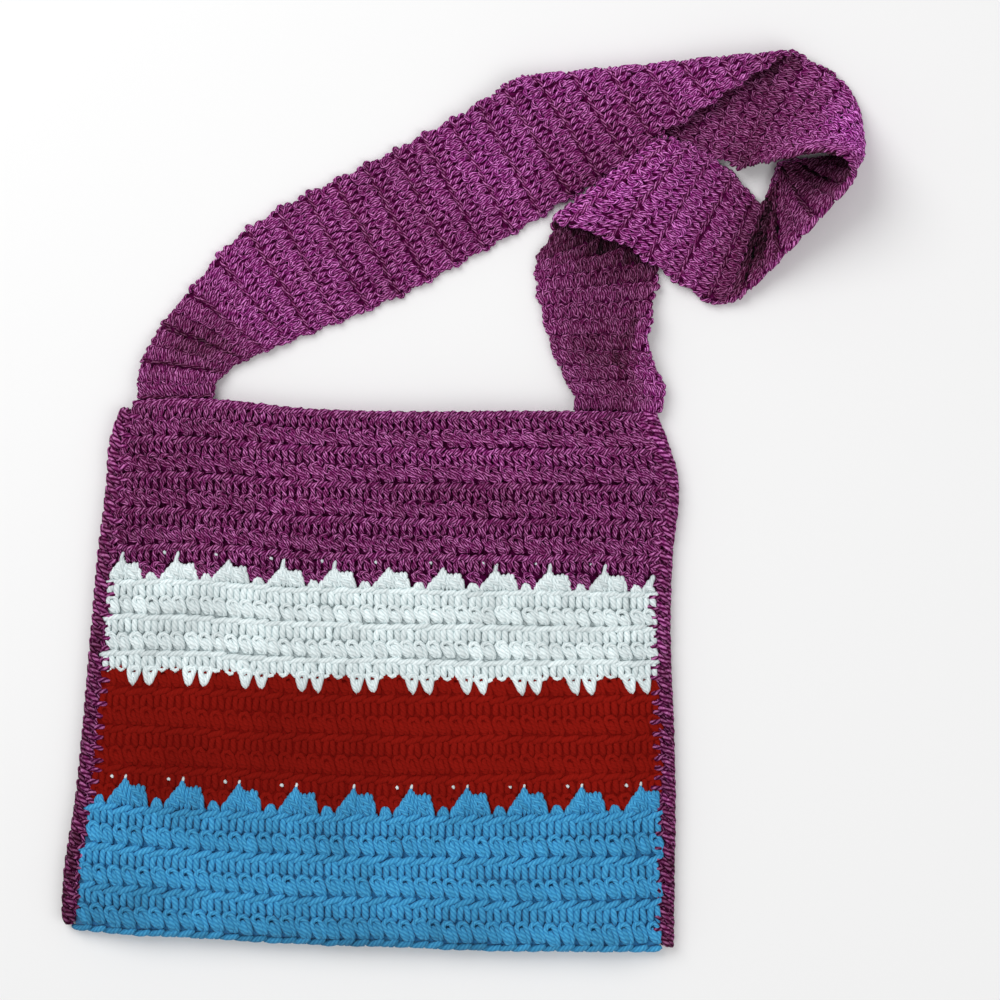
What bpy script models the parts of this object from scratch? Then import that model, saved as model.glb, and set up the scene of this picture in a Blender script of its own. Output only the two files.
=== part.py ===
"""A crocheted shoulder bag lying on its back, its long strap looped once beyond the mouth.

Four pieces, as a maker would crochet and join them:
  bag_body    one cloth, folded up at the bottom into a front and a back layer, open at the top
  seam_left   the crocheted chain that joins the two layers down the left side
  seam_right  the same down the right side
  strap       one long band, sewn to the mouth at both corners, folded and twisted where it lies

+X runs to the right, +Y from the bottom fold to the mouth, +Z up. The origin is on the surface
under the middle of the bag. Sizes are in millimetres and are scaled to metres when meshes are made.
"""

import math

import bpy
import numpy as np

MM = 0.001
JOINT_GAP = 0.4  # between two pieces that are sewn together

# The cloth of the bag
CLOTH = 3.5  # thickness of one crocheted layer
MOUTH_GAP = 5.6  # room between the layers over the middle of the bag
EDGE_GAP = 0.7  # room between the layers along the side seams
FULLNESS_WIDTH = 26.0  # how far in from a side seam the bag reaches its full height
BODY_COLUMNS = 26
BODY_ROWS = 15
FOLD_STEPS = 6

# Outline of the bag with its seams, down the height of the bag
SIDE_EDGES = (
    # y, left edge x, right edge x
    (139.0, -126.5, 136.0),
    (130.0, -131.0, 138.5),
    (118.0, -135.0, 143.0),
    (98.0, -136.5, 148.5),
    (60.0, -141.0, 145.5),
    (20.0, -144.5, 144.5),
    (-20.0, -148.0, 146.0),
    (-60.0, -152.0, 147.0),
    (-100.0, -158.0, 146.5),
    (-138.0, -159.0, 146.0),
)
# Mouth edge and bottom edge, across the width of the bag
LEVEL_EDGES = (
    # x, mouth y, bottom y
    (-160.0, 137.0, -125.5),
    (-125.0, 138.0, -128.5),
    (-85.0, 138.0, -130.5),
    (-40.0, 133.5, -133.0),
    (0.0, 132.0, -134.5),
    (60.0, 132.0, -136.5),
    (110.0, 132.0, -137.0),
    (150.0, 131.0, -137.0),
)

# The side seams: a chain of loops round both layers
SEAM_WIDTH = 6.0
SEAM_HEIGHT = 8.0
SEAM_SIDES = 12
SEAM_FLATNESS = 1.155  # how much of the round section is cut flat at the top and the bottom
SEAM_BOTTOM_LEFT = -124.0
SEAM_BOTTOM_RIGHT = -134.5

# The strap
BAND = 4.0  # thickness
BAND_WIDTH = 61.5
BAND_COLUMNS = 16
BAND_STEP = 7.5
BAND_FLOOR = 2.05  # height of the band's middle where it lies on the surface

# First fold: the band turns under itself along a line that slants across it
FOLD_START = (73.0, 299.5)
FOLD_END = (205.0, 311.5)
FOLD_RADIUS = 4.4
FOLD_ROW_TURN = -56.0  # degrees: which way a row of the band points, from outer to inner edge
FOLD_WIDENING = 2.5  # how much wider the band is drawn at the far end of the fold
FOLD_ROWS = 14

# Second fold: the band turns under itself almost square across
ROLL_INNER = (139.1, 270.6)
ROLL_OUTER = (86.1, 230.2)
ROLL_RADIUS = 4.7
ROLL_SLIP = 0.45  # how far the band moves sideways for each length it runs round the fold
ROLL_STEPS = 4

# Rows of the band from the left end to the first fold. The outer edge is the one away from the bag.
LEFT_ROWS = (
    # outer edge x, y, z      inner edge x, y, z      belly x, y, z
    ((-119.5, 139.0, 5.5), (-85.5, 139.0, 5.5), (0.0, 0.0, 0.0)),
    ((-120.5, 149.0, 5.0), (-83.0, 148.0, 4.5), (0.0, 0.0, 3.0)),
    ((-115.5, 164.5, 3.0), (-76.0, 155.5, 2.5), (0.0, 0.0, 5.0)),
    ((-105.5, 180.0, 2.5), (-66.5, 160.5, 3.0), (0.0, 0.0, 1.5)),
    ((-91.5, 197.0, 2.5), (-55.5, 165.5, 3.5), (0.0, 0.0, 0.5)),
    ((-76.0, 215.5, 2.1), (-43.5, 170.5, 2.1), (0.0, 0.0, 2.5)),
    ((-56.5, 230.0, 2.1), (-27.0, 177.0, 2.1), (0.0, 0.0, 1.5)),
    ((-20.0, 249.0, 2.1), (10.5, 193.0, 2.1), (0.0, 0.0, 0.5)),
    ((18.0, 268.5, 2.3), (48.0, 213.5, 2.1), (0.0, 0.0, 0.8)),
    ((48.5, 285.0, 6.0), (79.0, 231.5, 2.1), (0.0, 0.0, 0.8)),
)
# Heights through the first fold, as the share of the fold goes from 0 to 1
FOLD_HEIGHTS = (
    # share, upper layer at the fold, inner edge, outer edge
    (0.00, 11.2, 2.6, 2.2),
    (0.25, 11.2, 6.5, 2.2),
    (0.50, 11.6, 12.5, 2.2),
    (0.75, 14.0, 14.5, 3.2),
    (1.00, 14.0, 11.0, 11.0),
)
# Rows from the first fold round the standing loop on the right to the second fold
RIGHT_ROWS = (
    ((185.0, 256.5, 14.0), (221.0, 304.5, 5.0), (2.0, 0.0, 4.0)),
    ((190.0, 257.0, 19.0), (234.0, 294.0, 3.0), (5.0, 2.0, 8.0)),
    ((195.5, 257.5, 25.0), (239.0, 282.5, 3.0), (9.0, 3.0, 10.0)),
    ((203.0, 259.0, 32.0), (238.5, 271.5, 3.0), (12.0, 2.0, 9.0)),
    ((216.0, 260.5, 38.0), (234.5, 263.5, 3.0), (12.0, 1.0, 4.0)),
    ((228.0, 258.0, 40.0), (227.0, 260.0, 3.0), (11.0, 0.0, 0.0)),
    ((233.0, 250.0, 38.0), (218.0, 259.0, 3.0), (5.0, -1.0, -5.0)),
    ((227.0, 240.0, 33.0), (207.5, 258.0, 3.0), (2.0, -2.0, -9.0)),
    ((214.0, 225.5, 25.0), (200.5, 256.0, 3.5), (1.0, -1.0, -8.0)),
    ((200.0, 211.0, 16.0), (198.0, 249.0, 4.5), (0.0, 0.0, -6.0)),
    ((186.5, 196.5, 8.0), (195.0, 241.5, 4.0), (0.0, 0.0, -3.0)),
    ((172.5, 187.5, 3.5), (190.5, 235.5, 2.3), (0.0, 0.0, -0.5)),
    ((155.0, 195.0, 4.5), (180.5, 246.5, 3.5), (0.0, 0.0, 1.0)),
    ((139.0, 206.0, 7.5), (169.0, 256.5, 6.0), (0.0, 0.0, 1.5)),
    ((118.0, 219.0, 9.5), (155.0, 264.5, 9.5), (0.0, 0.0, 1.0)),
)
# Rows from the second fold down to the right end
END_ROWS = (
    ((80.5, 211.5, 2.1), (141.0, 240.0, 2.3), (0.0, 0.0, 0.0)),
    ((79.5, 196.0, 2.3), (138.5, 202.0, 2.3), (0.0, 0.0, 0.0)),
    ((83.0, 180.0, 2.5), (134.8, 181.0, 8.0), (0.0, 0.0, -2.2)),
    ((87.5, 163.5, 2.8), (133.5, 163.0, 8.5), (0.0, 0.0, -2.0)),
    ((94.0, 149.0, 4.5), (139.5, 149.0, 6.5), (0.0, 0.0, 1.5)),
    ((98.0, 141.0, 5.5), (141.5, 140.5, 5.5), (0.0, 0.0, 1.5)),
    ((98.5, 132.5, 5.5), (139.5, 132.5, 5.5), (0.0, 0.0, 0.0)),
)

PURPLE = (0.150, 0.034, 0.108, 1.0)


def curve_through(knots, values, at):
    """Smooth curve (cubic Hermite, Catmull-Rom slopes) through rows of values at rising knots."""
    knots = np.asarray(knots, float)
    values = np.asarray(values, float)
    steps = np.diff(knots)
    slopes = np.diff(values, axis=0) / steps.reshape((-1,) + (1,) * (values.ndim - 1))
    tangents = np.concatenate([slopes[:1], (slopes[1:] + slopes[:-1]) / 2, slopes[-1:]])
    at = np.clip(np.asarray(at, float), knots[0], knots[-1])
    span = np.clip(np.searchsorted(knots, at, side="right") - 1, 0, len(steps) - 1)
    width = steps[span]
    t = (at - knots[span]) / width
    shape = at.shape + (1,) * (values.ndim - 1)
    t, width = t.reshape(shape), width.reshape(shape)
    return (
        values[span] * (2 * t**3 - 3 * t**2 + 1)
        + values[span + 1] * (3 * t**2 - 2 * t**3)
        + tangents[span] * width * (t**3 - 2 * t**2 + t)
        + tangents[span + 1] * width * (t**3 - t**2)
    )


def column_of(table, column, at):
    """One column of a table, read smoothly at values of its first column."""
    rows = sorted(table)
    return curve_through([row[0] for row in rows], [row[column] for row in rows], at)


def left_edge(y):
    return column_of(SIDE_EDGES, 1, y)


def right_edge(y):
    return column_of(SIDE_EDGES, 2, y)


def mouth_edge(x):
    return column_of(LEVEL_EDGES, 1, x)


def bottom_edge(x):
    return column_of(LEVEL_EDGES, 2, x)


def body_point(across, y):
    """x on the bag's cloth at a share across its width, between the two seams."""
    inset = SEAM_WIDTH + JOINT_GAP
    low = left_edge(y) + inset
    high = right_edge(y) - inset
    return low + (high - low) * across


def layer_rise(across):
    """Height of the front layer's middle over the back layer's middle."""
    width = body_point(1.0, 0.0) - body_point(0.0, 0.0)
    near_side = min(across, 1 - across) * width / FULLNESS_WIDTH
    share = min(near_side, 1.0)
    eased = share * share * (3 - 2 * share)
    return CLOTH + EDGE_GAP + (MOUTH_GAP - EDGE_GAP) * eased


def body_column(across):
    """One line down the front of the bag, round the bottom fold and up its back."""
    rise = layer_rise(across)
    radius = rise / 2
    top = float(mouth_edge(body_point(across, 130.0)))
    bottom = float(bottom_edge(body_point(across, -120.0))) + CLOTH / 2 + radius
    heights = np.linspace(top, bottom, BODY_ROWS + 1)
    back = CLOTH / 2
    front_line = [(body_point(across, y), y, back + rise) for y in heights]
    turn_x = body_point(across, bottom)
    fold_line = [
        (turn_x, bottom - radius * math.cos(turn), back + radius + radius * math.sin(turn))
        for turn in np.linspace(math.pi / 2, -math.pi / 2, FOLD_STEPS + 1)[1:-1]
    ]
    back_line = [(x, y, back) for x, y, _ in reversed(front_line)]
    return front_line + fold_line + back_line


def sheet_mesh(name, grid, thickness):
    """A closed solid from a grid of points on the middle of a cloth."""
    points = np.asarray(grid, float) * MM
    rows, columns = points.shape[:2]
    faces = [
        (
            row * columns + column,
            row * columns + column + 1,
            (row + 1) * columns + column + 1,
            (row + 1) * columns + column,
        )
        for row in range(rows - 1)
        for column in range(columns - 1)
    ]
    mesh = bpy.data.meshes.new(name)
    mesh.from_pydata(points.reshape(-1, 3).tolist(), [], faces)
    mesh.update()
    obj = bpy.data.objects.new(name, mesh)
    bpy.context.scene.collection.objects.link(obj)
    cloth = obj.modifiers.new("Cloth thickness", "SOLIDIFY")
    cloth.thickness = thickness * MM
    cloth.offset = 0.0
    return obj


def body():
    columns = [body_column(across) for across in np.linspace(0, 1, BODY_COLUMNS + 1)]
    return sheet_mesh("bag_body", columns, CLOTH)


def seam(name, across, outer_edge, bottom):
    """A chain seam: rings of a rounded section along the cloth's side, level with its rows."""
    inward = 1 if across < 0.5 else -1
    heights = [y for _, y, _ in body_column(across)[: BODY_ROWS + 1]] + [bottom]
    count = len(heights) - 1
    angles = np.linspace(0, 2 * math.pi, SEAM_SIDES, endpoint=False)
    vertices = []
    for y in heights:
        middle = float(outer_edge(y)) + inward * SEAM_WIDTH / 2
        for angle in angles:
            x = middle + SEAM_WIDTH / 2 * math.cos(angle)
            side = min(max(SEAM_FLATNESS * math.sin(angle), -1.0), 1.0)
            height = SEAM_HEIGHT / 2 * (1 + side)
            vertices.append((x * MM, y * MM, height * MM))
    faces = [
        (
            ring * SEAM_SIDES + side,
            ring * SEAM_SIDES + (side + 1) % SEAM_SIDES,
            (ring + 1) * SEAM_SIDES + (side + 1) % SEAM_SIDES,
            (ring + 1) * SEAM_SIDES + side,
        )
        for ring in range(count)
        for side in range(SEAM_SIDES)
    ]
    last = count * SEAM_SIDES
    faces.append(tuple(reversed(range(SEAM_SIDES))))
    faces.append(tuple(last + side for side in range(SEAM_SIDES)))
    mesh = bpy.data.meshes.new(name)
    mesh.from_pydata(vertices, [], faces)
    mesh.update()
    obj = bpy.data.objects.new(name, mesh)
    bpy.context.scene.collection.objects.link(obj)
    return obj


def even_shares(points, count):
    """The same line with its points at equal distances along it."""
    points = np.asarray(points, float)
    lengths = np.linalg.norm(np.diff(points, axis=0), axis=1)
    along = np.concatenate([[0], np.cumsum(lengths)])
    at = np.linspace(0, along[-1], count)
    return np.stack([np.interp(at, along, points[:, axis]) for axis in range(3)], axis=1)


def bellied_row(outer, inner, belly):
    """A row of the band from its outer to its inner edge, bowed by the belly in its middle."""
    share = np.linspace(0, 1, 33)[:, None]
    outer, inner, belly = (np.asarray(part, float) for part in (outer, inner, belly))
    line = outer + (inner - outer) * share + belly * 4 * share * (1 - share)
    return even_shares(line, BAND_COLUMNS + 1)


def folded_row(share):
    """A row that crosses the first fold at a share of the fold's length.

    Its inner part lies on top. Its outer part turns round the fold and runs back underneath,
    in the direction that the fold mirrors.
    """
    start, end = np.asarray(FOLD_START), np.asarray(FOLD_END)
    along = (end - start) / np.linalg.norm(end - start)
    outward = np.array([-along[1], along[0]])
    turn = math.radians(FOLD_ROW_TURN)
    top_way = np.array([math.cos(turn), math.sin(turn)])
    slip = float(top_way @ along) / -float(top_way @ outward)
    under_way = top_way - 2 * float(top_way @ along) * along
    width = BAND_WIDTH + FOLD_WIDENING * share**3
    upper, inner_z, outer_z = curve_through(
        [row[0] for row in FOLD_HEIGHTS], [row[1:] for row in FOLD_HEIGHTS], share
    )
    radius = FOLD_RADIUS
    quarter = radius * math.pi / 2
    crest = start + (end - start) * share
    core = crest - outward * radius
    slant = math.sqrt(1 + slip * slip)
    top_leg = max((1 - share) * width - quarter * slant, 0.0)
    under_leg = max(share * width - quarter * slant, 0.0)
    line = []
    turn_from = -min(share * width / slant / radius, math.pi / 2)
    turn_to = min((1 - share) * width / slant / radius, math.pi / 2)
    for angle in np.linspace(turn_from, turn_to, 13):
        flat = core + outward * radius * math.cos(angle) + along * slip * radius * angle
        line.append((flat[0], flat[1], upper - radius + radius * math.sin(angle)))
    first, last = np.array(line[0]), np.array(line[-1])
    if under_leg > 0:
        foot = first[:2] + under_way * under_leg
        line.insert(0, (foot[0], foot[1], outer_z))
    if top_leg > 0:
        tip = last[:2] + top_way * top_leg
        line.append((tip[0], tip[1], inner_z))
    return even_shares(line, BAND_COLUMNS + 1)


def rolled_rows():
    """Rows round the second fold, which lies almost square across the band."""
    inner, outer = np.asarray(ROLL_INNER), np.asarray(ROLL_OUTER)
    along = (outer - inner) / np.linalg.norm(outer - inner)
    inward = np.array([-along[1], along[0]])
    rows = []
    for turn in np.linspace(math.pi / 2, -math.pi / 2, ROLL_STEPS + 1):
        back = BAND / 2 + ROLL_RADIUS * (1 - math.cos(turn))
        z = BAND_FLOOR + ROLL_RADIUS * (1 + math.sin(turn))
        moved = inward * back - along * ROLL_SLIP * ROLL_RADIUS * turn
        ends = [(*(corner + moved), z) for corner in (outer, inner)]
        rows.append(bellied_row(*ends, (0, 0, 0)))
    return rows


def band_rows():
    """Every row of the band that its shape is given by, from the left end to the right end."""
    rows = [bellied_row(*row) for row in LEFT_ROWS]
    rows += [folded_row(share) for share in np.linspace(0, 1, FOLD_ROWS)]
    rows += [bellied_row(*row) for row in RIGHT_ROWS]
    rows += rolled_rows()
    rows += [bellied_row(*row) for row in END_ROWS]
    return np.asarray(rows)


def band_grid(step):
    """The band's middle surface as rows at even steps along it."""
    rows = band_rows()
    moves = np.linalg.norm(np.diff(rows, axis=0), axis=2).mean(axis=1)
    run = np.concatenate([[0], np.cumsum(moves)])
    count = max(int(round(run[-1] / step)), 2)
    grid = curve_through(run, rows, np.linspace(0, run[-1], count + 1))
    grid[..., 2] = np.maximum(grid[..., 2], BAND_FLOOR)
    return grid


def strap():
    return sheet_mesh("strap", band_grid(BAND_STEP), BAND)


def yarn(name, colour, roughness=0.9):
    material = bpy.data.materials.new(name)
    material.use_nodes = True
    shader = material.node_tree.nodes["Principled BSDF"]
    shader.inputs["Base Color"].default_value = colour
    shader.inputs["Roughness"].default_value = roughness
    shader.inputs["Metallic"].default_value = 0.0
    return material


def clear_scene():
    for obj in list(bpy.data.objects):
        bpy.data.objects.remove(obj, do_unlink=True)


def main():
    clear_scene()
    pieces = (
        body(),
        seam("seam_left", 0.0, left_edge, SEAM_BOTTOM_LEFT),
        seam("seam_right", 1.0, right_edge, SEAM_BOTTOM_RIGHT),
        strap(),
    )
    for piece in pieces:
        piece.data.materials.append(yarn(piece.name + "_yarn", PURPLE))
        piece.data.shade_smooth()


main()
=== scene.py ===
"""Looks of the crochet bag: every stitch is laid as strands of yarn on the cloth that the CAD model gives.

Shapes are worked out in millimetres, in the CAD frame, and scaled to metres when meshes are made.
"""

import math
from collections import namedtuple

import bpy
import numpy as np
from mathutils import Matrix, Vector
from mathutils.bvhtree import BVHTree


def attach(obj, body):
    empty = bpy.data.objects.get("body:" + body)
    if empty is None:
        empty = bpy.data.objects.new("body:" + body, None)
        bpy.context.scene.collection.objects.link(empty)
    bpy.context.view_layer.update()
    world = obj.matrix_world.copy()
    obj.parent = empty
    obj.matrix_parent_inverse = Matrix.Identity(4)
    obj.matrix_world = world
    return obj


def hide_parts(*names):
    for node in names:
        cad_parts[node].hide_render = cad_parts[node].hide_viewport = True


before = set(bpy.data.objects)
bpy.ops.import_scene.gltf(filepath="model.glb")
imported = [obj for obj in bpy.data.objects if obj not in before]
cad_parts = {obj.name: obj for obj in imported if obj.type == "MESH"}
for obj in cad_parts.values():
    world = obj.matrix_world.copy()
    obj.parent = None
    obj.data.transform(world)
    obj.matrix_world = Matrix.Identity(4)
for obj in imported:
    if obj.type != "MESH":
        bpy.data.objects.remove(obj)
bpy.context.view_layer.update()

MM = 0.001
rng = np.random.default_rng(7)

# ---------------------------------------------------------------- the cloth of the bag, as in the CAD
JOINT_GAP = 0.4  # between two pieces that are sewn together
CLOTH = 3.5  # thickness of one crocheted layer
MOUTH_GAP = 5.6  # room between the layers over the middle of the bag
EDGE_GAP = 0.7  # room between the layers along the side seams
FULLNESS_WIDTH = 26.0  # how far in from a side seam the bag reaches its full height
SEAM_WIDTH = 6.0
SEAM_HEIGHT = 8.0
SEAM_TOP = 134.0
SEAM_BOTTOM = {"left": -124.0, "right": -134.5}
MOUTH_LEVEL = 130.0  # the y where the cloth's width is taken for the mouth's outline
BOTTOM_LEVEL = -120.0  # and for the bottom's
SLOPE_STEP = 0.002  # share of the width over which the cloth's slope is measured

SIDE_EDGES = (
    # y, left edge x, right edge x
    (139.0, -126.5, 136.0),
    (130.0, -131.0, 138.5),
    (118.0, -135.0, 143.0),
    (98.0, -136.5, 148.5),
    (60.0, -141.0, 145.5),
    (20.0, -144.5, 144.5),
    (-20.0, -148.0, 146.0),
    (-60.0, -152.0, 147.0),
    (-100.0, -158.0, 146.5),
    (-138.0, -159.0, 146.0),
)
LEVEL_EDGES = (
    # x, mouth y, bottom y
    (-160.0, 137.0, -125.5),
    (-125.0, 138.0, -128.5),
    (-85.0, 138.0, -130.5),
    (-40.0, 133.5, -133.0),
    (0.0, 132.0, -134.5),
    (60.0, 132.0, -136.5),
    (110.0, 132.0, -137.0),
    (150.0, 131.0, -137.0),
)

# ---------------------------------------------------------------- the strap, as in the CAD
BAND_WIDTH = 61.5
BAND = 4.0  # thickness
BAND_COLUMNS = 16
BAND_FLOOR = 2.05  # height of the band's middle where it lies on the surface
BELLY_SAMPLES = 33
CREST_SAMPLES = 13

# First fold: the band turns under itself along a line that slants across it
FOLD_START = (73.0, 299.5)
FOLD_END = (205.0, 311.5)
FOLD_RADIUS = 4.4
FOLD_ROW_TURN = -56.0  # degrees: which way a row of the band points, from outer to inner edge
FOLD_WIDENING = 2.5  # how much wider the band is drawn at the far end of the fold
FOLD_ROWS = 14

# Second fold: the band turns under itself almost square across
ROLL_INNER = (139.1, 270.6)
ROLL_OUTER = (86.1, 230.2)
ROLL_RADIUS = 4.7
ROLL_SLIP = 0.45  # how far the band moves sideways for each length it runs round the fold
ROLL_STEPS = 4

# Rows of the band outside its folds. The outer edge is the one away from the bag.
LEFT_ROWS = (
    # outer edge x, y, z      inner edge x, y, z      belly x, y, z
    ((-119.5, 139.0, 5.5), (-85.5, 139.0, 5.5), (0.0, 0.0, 0.0)),
    ((-120.5, 149.0, 5.0), (-83.0, 148.0, 4.5), (0.0, 0.0, 3.0)),
    ((-115.5, 164.5, 3.0), (-76.0, 155.5, 2.5), (0.0, 0.0, 5.0)),
    ((-105.5, 180.0, 2.5), (-66.5, 160.5, 3.0), (0.0, 0.0, 1.5)),
    ((-91.5, 197.0, 2.5), (-55.5, 165.5, 3.5), (0.0, 0.0, 0.5)),
    ((-76.0, 215.5, 2.1), (-43.5, 170.5, 2.1), (0.0, 0.0, 2.5)),
    ((-56.5, 230.0, 2.1), (-27.0, 177.0, 2.1), (0.0, 0.0, 1.5)),
    ((-20.0, 249.0, 2.1), (10.5, 193.0, 2.1), (0.0, 0.0, 0.5)),
    ((18.0, 268.5, 2.3), (48.0, 213.5, 2.1), (0.0, 0.0, 0.8)),
    ((48.5, 285.0, 6.0), (79.0, 231.5, 2.1), (0.0, 0.0, 0.8)),
)
FOLD_HEIGHTS = (
    # share, upper layer at the fold, inner edge, outer edge
    (0.00, 11.2, 2.6, 2.2),
    (0.25, 11.2, 6.5, 2.2),
    (0.50, 11.6, 12.5, 2.2),
    (0.75, 14.0, 14.5, 3.2),
    (1.00, 14.0, 11.0, 11.0),
)
RIGHT_ROWS = (
    ((185.0, 256.5, 14.0), (221.0, 304.5, 5.0), (2.0, 0.0, 4.0)),
    ((190.0, 257.0, 19.0), (234.0, 294.0, 3.0), (5.0, 2.0, 8.0)),
    ((195.5, 257.5, 25.0), (239.0, 282.5, 3.0), (9.0, 3.0, 10.0)),
    ((203.0, 259.0, 32.0), (238.5, 271.5, 3.0), (12.0, 2.0, 9.0)),
    ((216.0, 260.5, 38.0), (234.5, 263.5, 3.0), (12.0, 1.0, 4.0)),
    ((228.0, 258.0, 40.0), (227.0, 260.0, 3.0), (11.0, 0.0, 0.0)),
    ((233.0, 250.0, 38.0), (218.0, 259.0, 3.0), (5.0, -1.0, -5.0)),
    ((227.0, 240.0, 33.0), (207.5, 258.0, 3.0), (2.0, -2.0, -9.0)),
    ((214.0, 225.5, 25.0), (200.5, 256.0, 3.5), (1.0, -1.0, -8.0)),
    ((200.0, 211.0, 16.0), (198.0, 249.0, 4.5), (0.0, 0.0, -6.0)),
    ((186.5, 196.5, 8.0), (195.0, 241.5, 4.0), (0.0, 0.0, -3.0)),
    ((172.5, 187.5, 3.5), (190.5, 235.5, 2.3), (0.0, 0.0, -0.5)),
    ((155.0, 195.0, 4.5), (180.5, 246.5, 3.5), (0.0, 0.0, 1.0)),
    ((139.0, 206.0, 7.5), (169.0, 256.5, 6.0), (0.0, 0.0, 1.5)),
    ((118.0, 219.0, 9.5), (155.0, 264.5, 9.5), (0.0, 0.0, 1.0)),
)
END_ROWS = (
    ((80.5, 211.5, 2.1), (141.0, 240.0, 2.3), (0.0, 0.0, 0.0)),
    ((79.5, 196.0, 2.3), (138.5, 202.0, 2.3), (0.0, 0.0, 0.0)),
    ((83.0, 180.0, 2.5), (134.8, 181.0, 8.0), (0.0, 0.0, -2.2)),
    ((87.5, 163.5, 2.8), (133.5, 163.0, 8.5), (0.0, 0.0, -2.0)),
    ((94.0, 149.0, 4.5), (139.5, 149.0, 6.5), (0.0, 0.0, 1.5)),
    ((98.0, 141.0, 5.5), (141.5, 140.5, 5.5), (0.0, 0.0, 1.5)),
    ((98.5, 132.5, 5.5), (139.5, 132.5, 5.5), (0.0, 0.0, 0.0)),
)

# ---------------------------------------------------------------- the strap's surface, finer than the CAD's
FINE_ALONG = 2.0
FINE_ACROSS = 64
EDGE_FILL = (251.0, 24.0, 2.0)  # mm along, reach along, and how far the inner edge goes out beside the roll
# Soft humps and hollows pressed into the strap, and patches of painted light and shade on its yarn
Patch = namedtuple("Patch", "face along across reach_along reach_across height lighter")
PATCH_ROWS = (
    # face, mm along, share across, reach along, reach across, height in mm, how much lighter the yarn is
    # painted
    (1, 4.0, 0.50, 9.0, 1.0, 0.0, -0.12),
    (1, 30.0, 0.45, 15.0, 0.55, 0.0, -0.46),
    (1, 66.0, 0.50, 20.0, 0.80, 0.0, 0.24),
    (1, 104.0, 0.50, 22.0, 0.80, 0.0, 0.18),
    (1, 205.0, 0.40, 28.0, 0.60, 0.0, 0.32),
    (1, 275.0, 0.15, 40.0, 0.40, 0.0, 0.34),
    (1, 300.0, 0.66, 12.0, 0.30, 0.0, 0.26),
    (1, 321.0, 0.84, 15.0, 0.22, 0.0, 0.24),
    (-1, 366.0, 0.05, 20.0, 0.15, 0.0, -0.22),
    (-1, 404.0, 0.78, 19.0, 0.40, 0.0, 0.60),
    (-1, 424.0, 0.36, 18.0, 0.32, 0.0, 0.36),
    (1, 446.0, 0.55, 14.0, 0.45, 0.0, -0.18),
    (1, 489.0, 0.62, 13.0, 0.46, 0.0, -0.80),
    (1, 500.0, 0.10, 12.0, 0.25, 0.0, -0.06),
    (1, 550.0, 0.50, 32.0, 0.75, 0.0, 0.34),
    (1, 577.0, 0.40, 9.0, 0.60, 0.0, 0.26),
    (-1, 600.0, 0.26, 16.0, 0.46, 0.0, -0.50),
    (-1, 615.0, 0.58, 14.0, 0.32, 0.0, -0.52),
    (-1, 630.0, 0.82, 12.0, 0.22, 0.0, -0.28),
    (-1, 676.0, 0.48, 40.0, 0.42, 0.0, -0.46),
    (-1, 649.0, 0.88, 11.0, 0.09, -0.8, -0.26),
    (-1, 663.0, 0.83, 11.0, 0.09, -1.2, -0.36),
    (-1, 677.0, 0.70, 11.0, 0.11, -1.0, -0.26),
    (-1, 664.0, 1.06, 24.0, 0.12, 1.0, 0.42),
    (-1, 692.0, 0.92, 12.0, 0.18, 0.8, 0.26),
)
STRAP_HUMPS_AND_PAINTED_LIGHT = [Patch(*row) for row in PATCH_ROWS]

# ---------------------------------------------------------------- the crochet
STITCHES = 40  # across the bag
WHITE_STITCHES = 41  # the white rows are a little denser
BANDS = {
    # rows down the front of the bag, height of one row
    "purple": (10, 9.2),
    "white": (5, 8.7),
    "red": (7, 9.5),
    "blue": (6, 10.2),
}
# the number of each colour's first row, and how far down from the mouth it starts
FIRST_ROWS = dict(zip(BANDS, np.cumsum([0] + [rows for rows, _ in BANDS.values()])))
TOPS = dict(zip([*BANDS, "bottom"], np.cumsum([0.0] + [rows * height for rows, height in BANDS.values()])))
ROW_LOOKS = {
    # yarn radius, thickness of the legs, slant of the ridges, share of the lift, spread of tone
    "purple": (1.52, 1.08, 0.8, 1.0, 0.10),
    "white": (1.34, 1.34, 0.5, 1.0, 0.10),
    "red": (1.85, 1.12, 0.8, 0.12, 0.03),
    "blue": (1.46, 1.26, 1.0, 1.0, 0.10),
}
NOMINAL_ROW = 9.2  # the height of row that the strands of a stitch are drawn for
FRONT_LENGTH = 266.7  # mouth to bottom edge, down the front
ROW_DRIFT = (
    # stitch, shift in mm of the first row of the white, the red and the blue
    (0.0, -2.2, -1.1, 0.6),
    (10.0, -3.4, -2.9, 0.3),
    (20.0, -4.4, -4.1, -0.6),
    (30.0, -4.0, -4.3, -3.0),
    (40.0, -3.4, -5.0, -4.4),
)
STRAP_STITCHES = 10
STRAP_ROW = 8.15

# Strands of one stitch: x in stitches, y in mm down the row, height in mm over the middle of the cloth
RIDGE = ((-0.22, 3.4, 0.5), (0.10, 2.7, 1.1), (0.50, 1.6, 1.45), (0.90, 0.6, 1.3), (1.22, -0.1, 0.7))
LEG_LEFT = ((0.35, 1.8, 0.3), (0.30, 3.4, 0.9), (0.25, 5.6, 1.05), (0.24, 8.0, 0.8), (0.34, 10.0, 0.1))
LEG_RIGHT = ((0.65, 1.8, 0.3), (0.70, 3.4, 0.9), (0.76, 5.6, 1.05), (0.80, 8.0, 0.8), (0.84, 10.0, 0.1))
HEM = ((0.24, 7.6, 0.7), (0.34, 9.8, 0.9), (0.68, 10.0, 0.9), (0.80, 7.8, 0.7))
DROP = (
    (0.84, 8.9, 0.2), (0.62, 8.0, 0.95), (0.42, 6.4, 1.1), (0.24, 4.4, 1.15),
    (0.12, 2.3, 1.15), (0.26, 0.7, 1.2), (0.58, 0.4, 1.25), (0.79, 2.0, 1.3),
    (0.90, 4.2, 1.3), (1.00, 6.4, 1.25), (1.00, 8.0, 0.9), (0.86, 9.0, 0.3),
)
DROP_FILL = ((0.46, 3.0, 0.5), (0.56, 4.6, 1.1), (0.70, 6.4, 1.2), (0.84, 8.2, 0.5))
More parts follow.
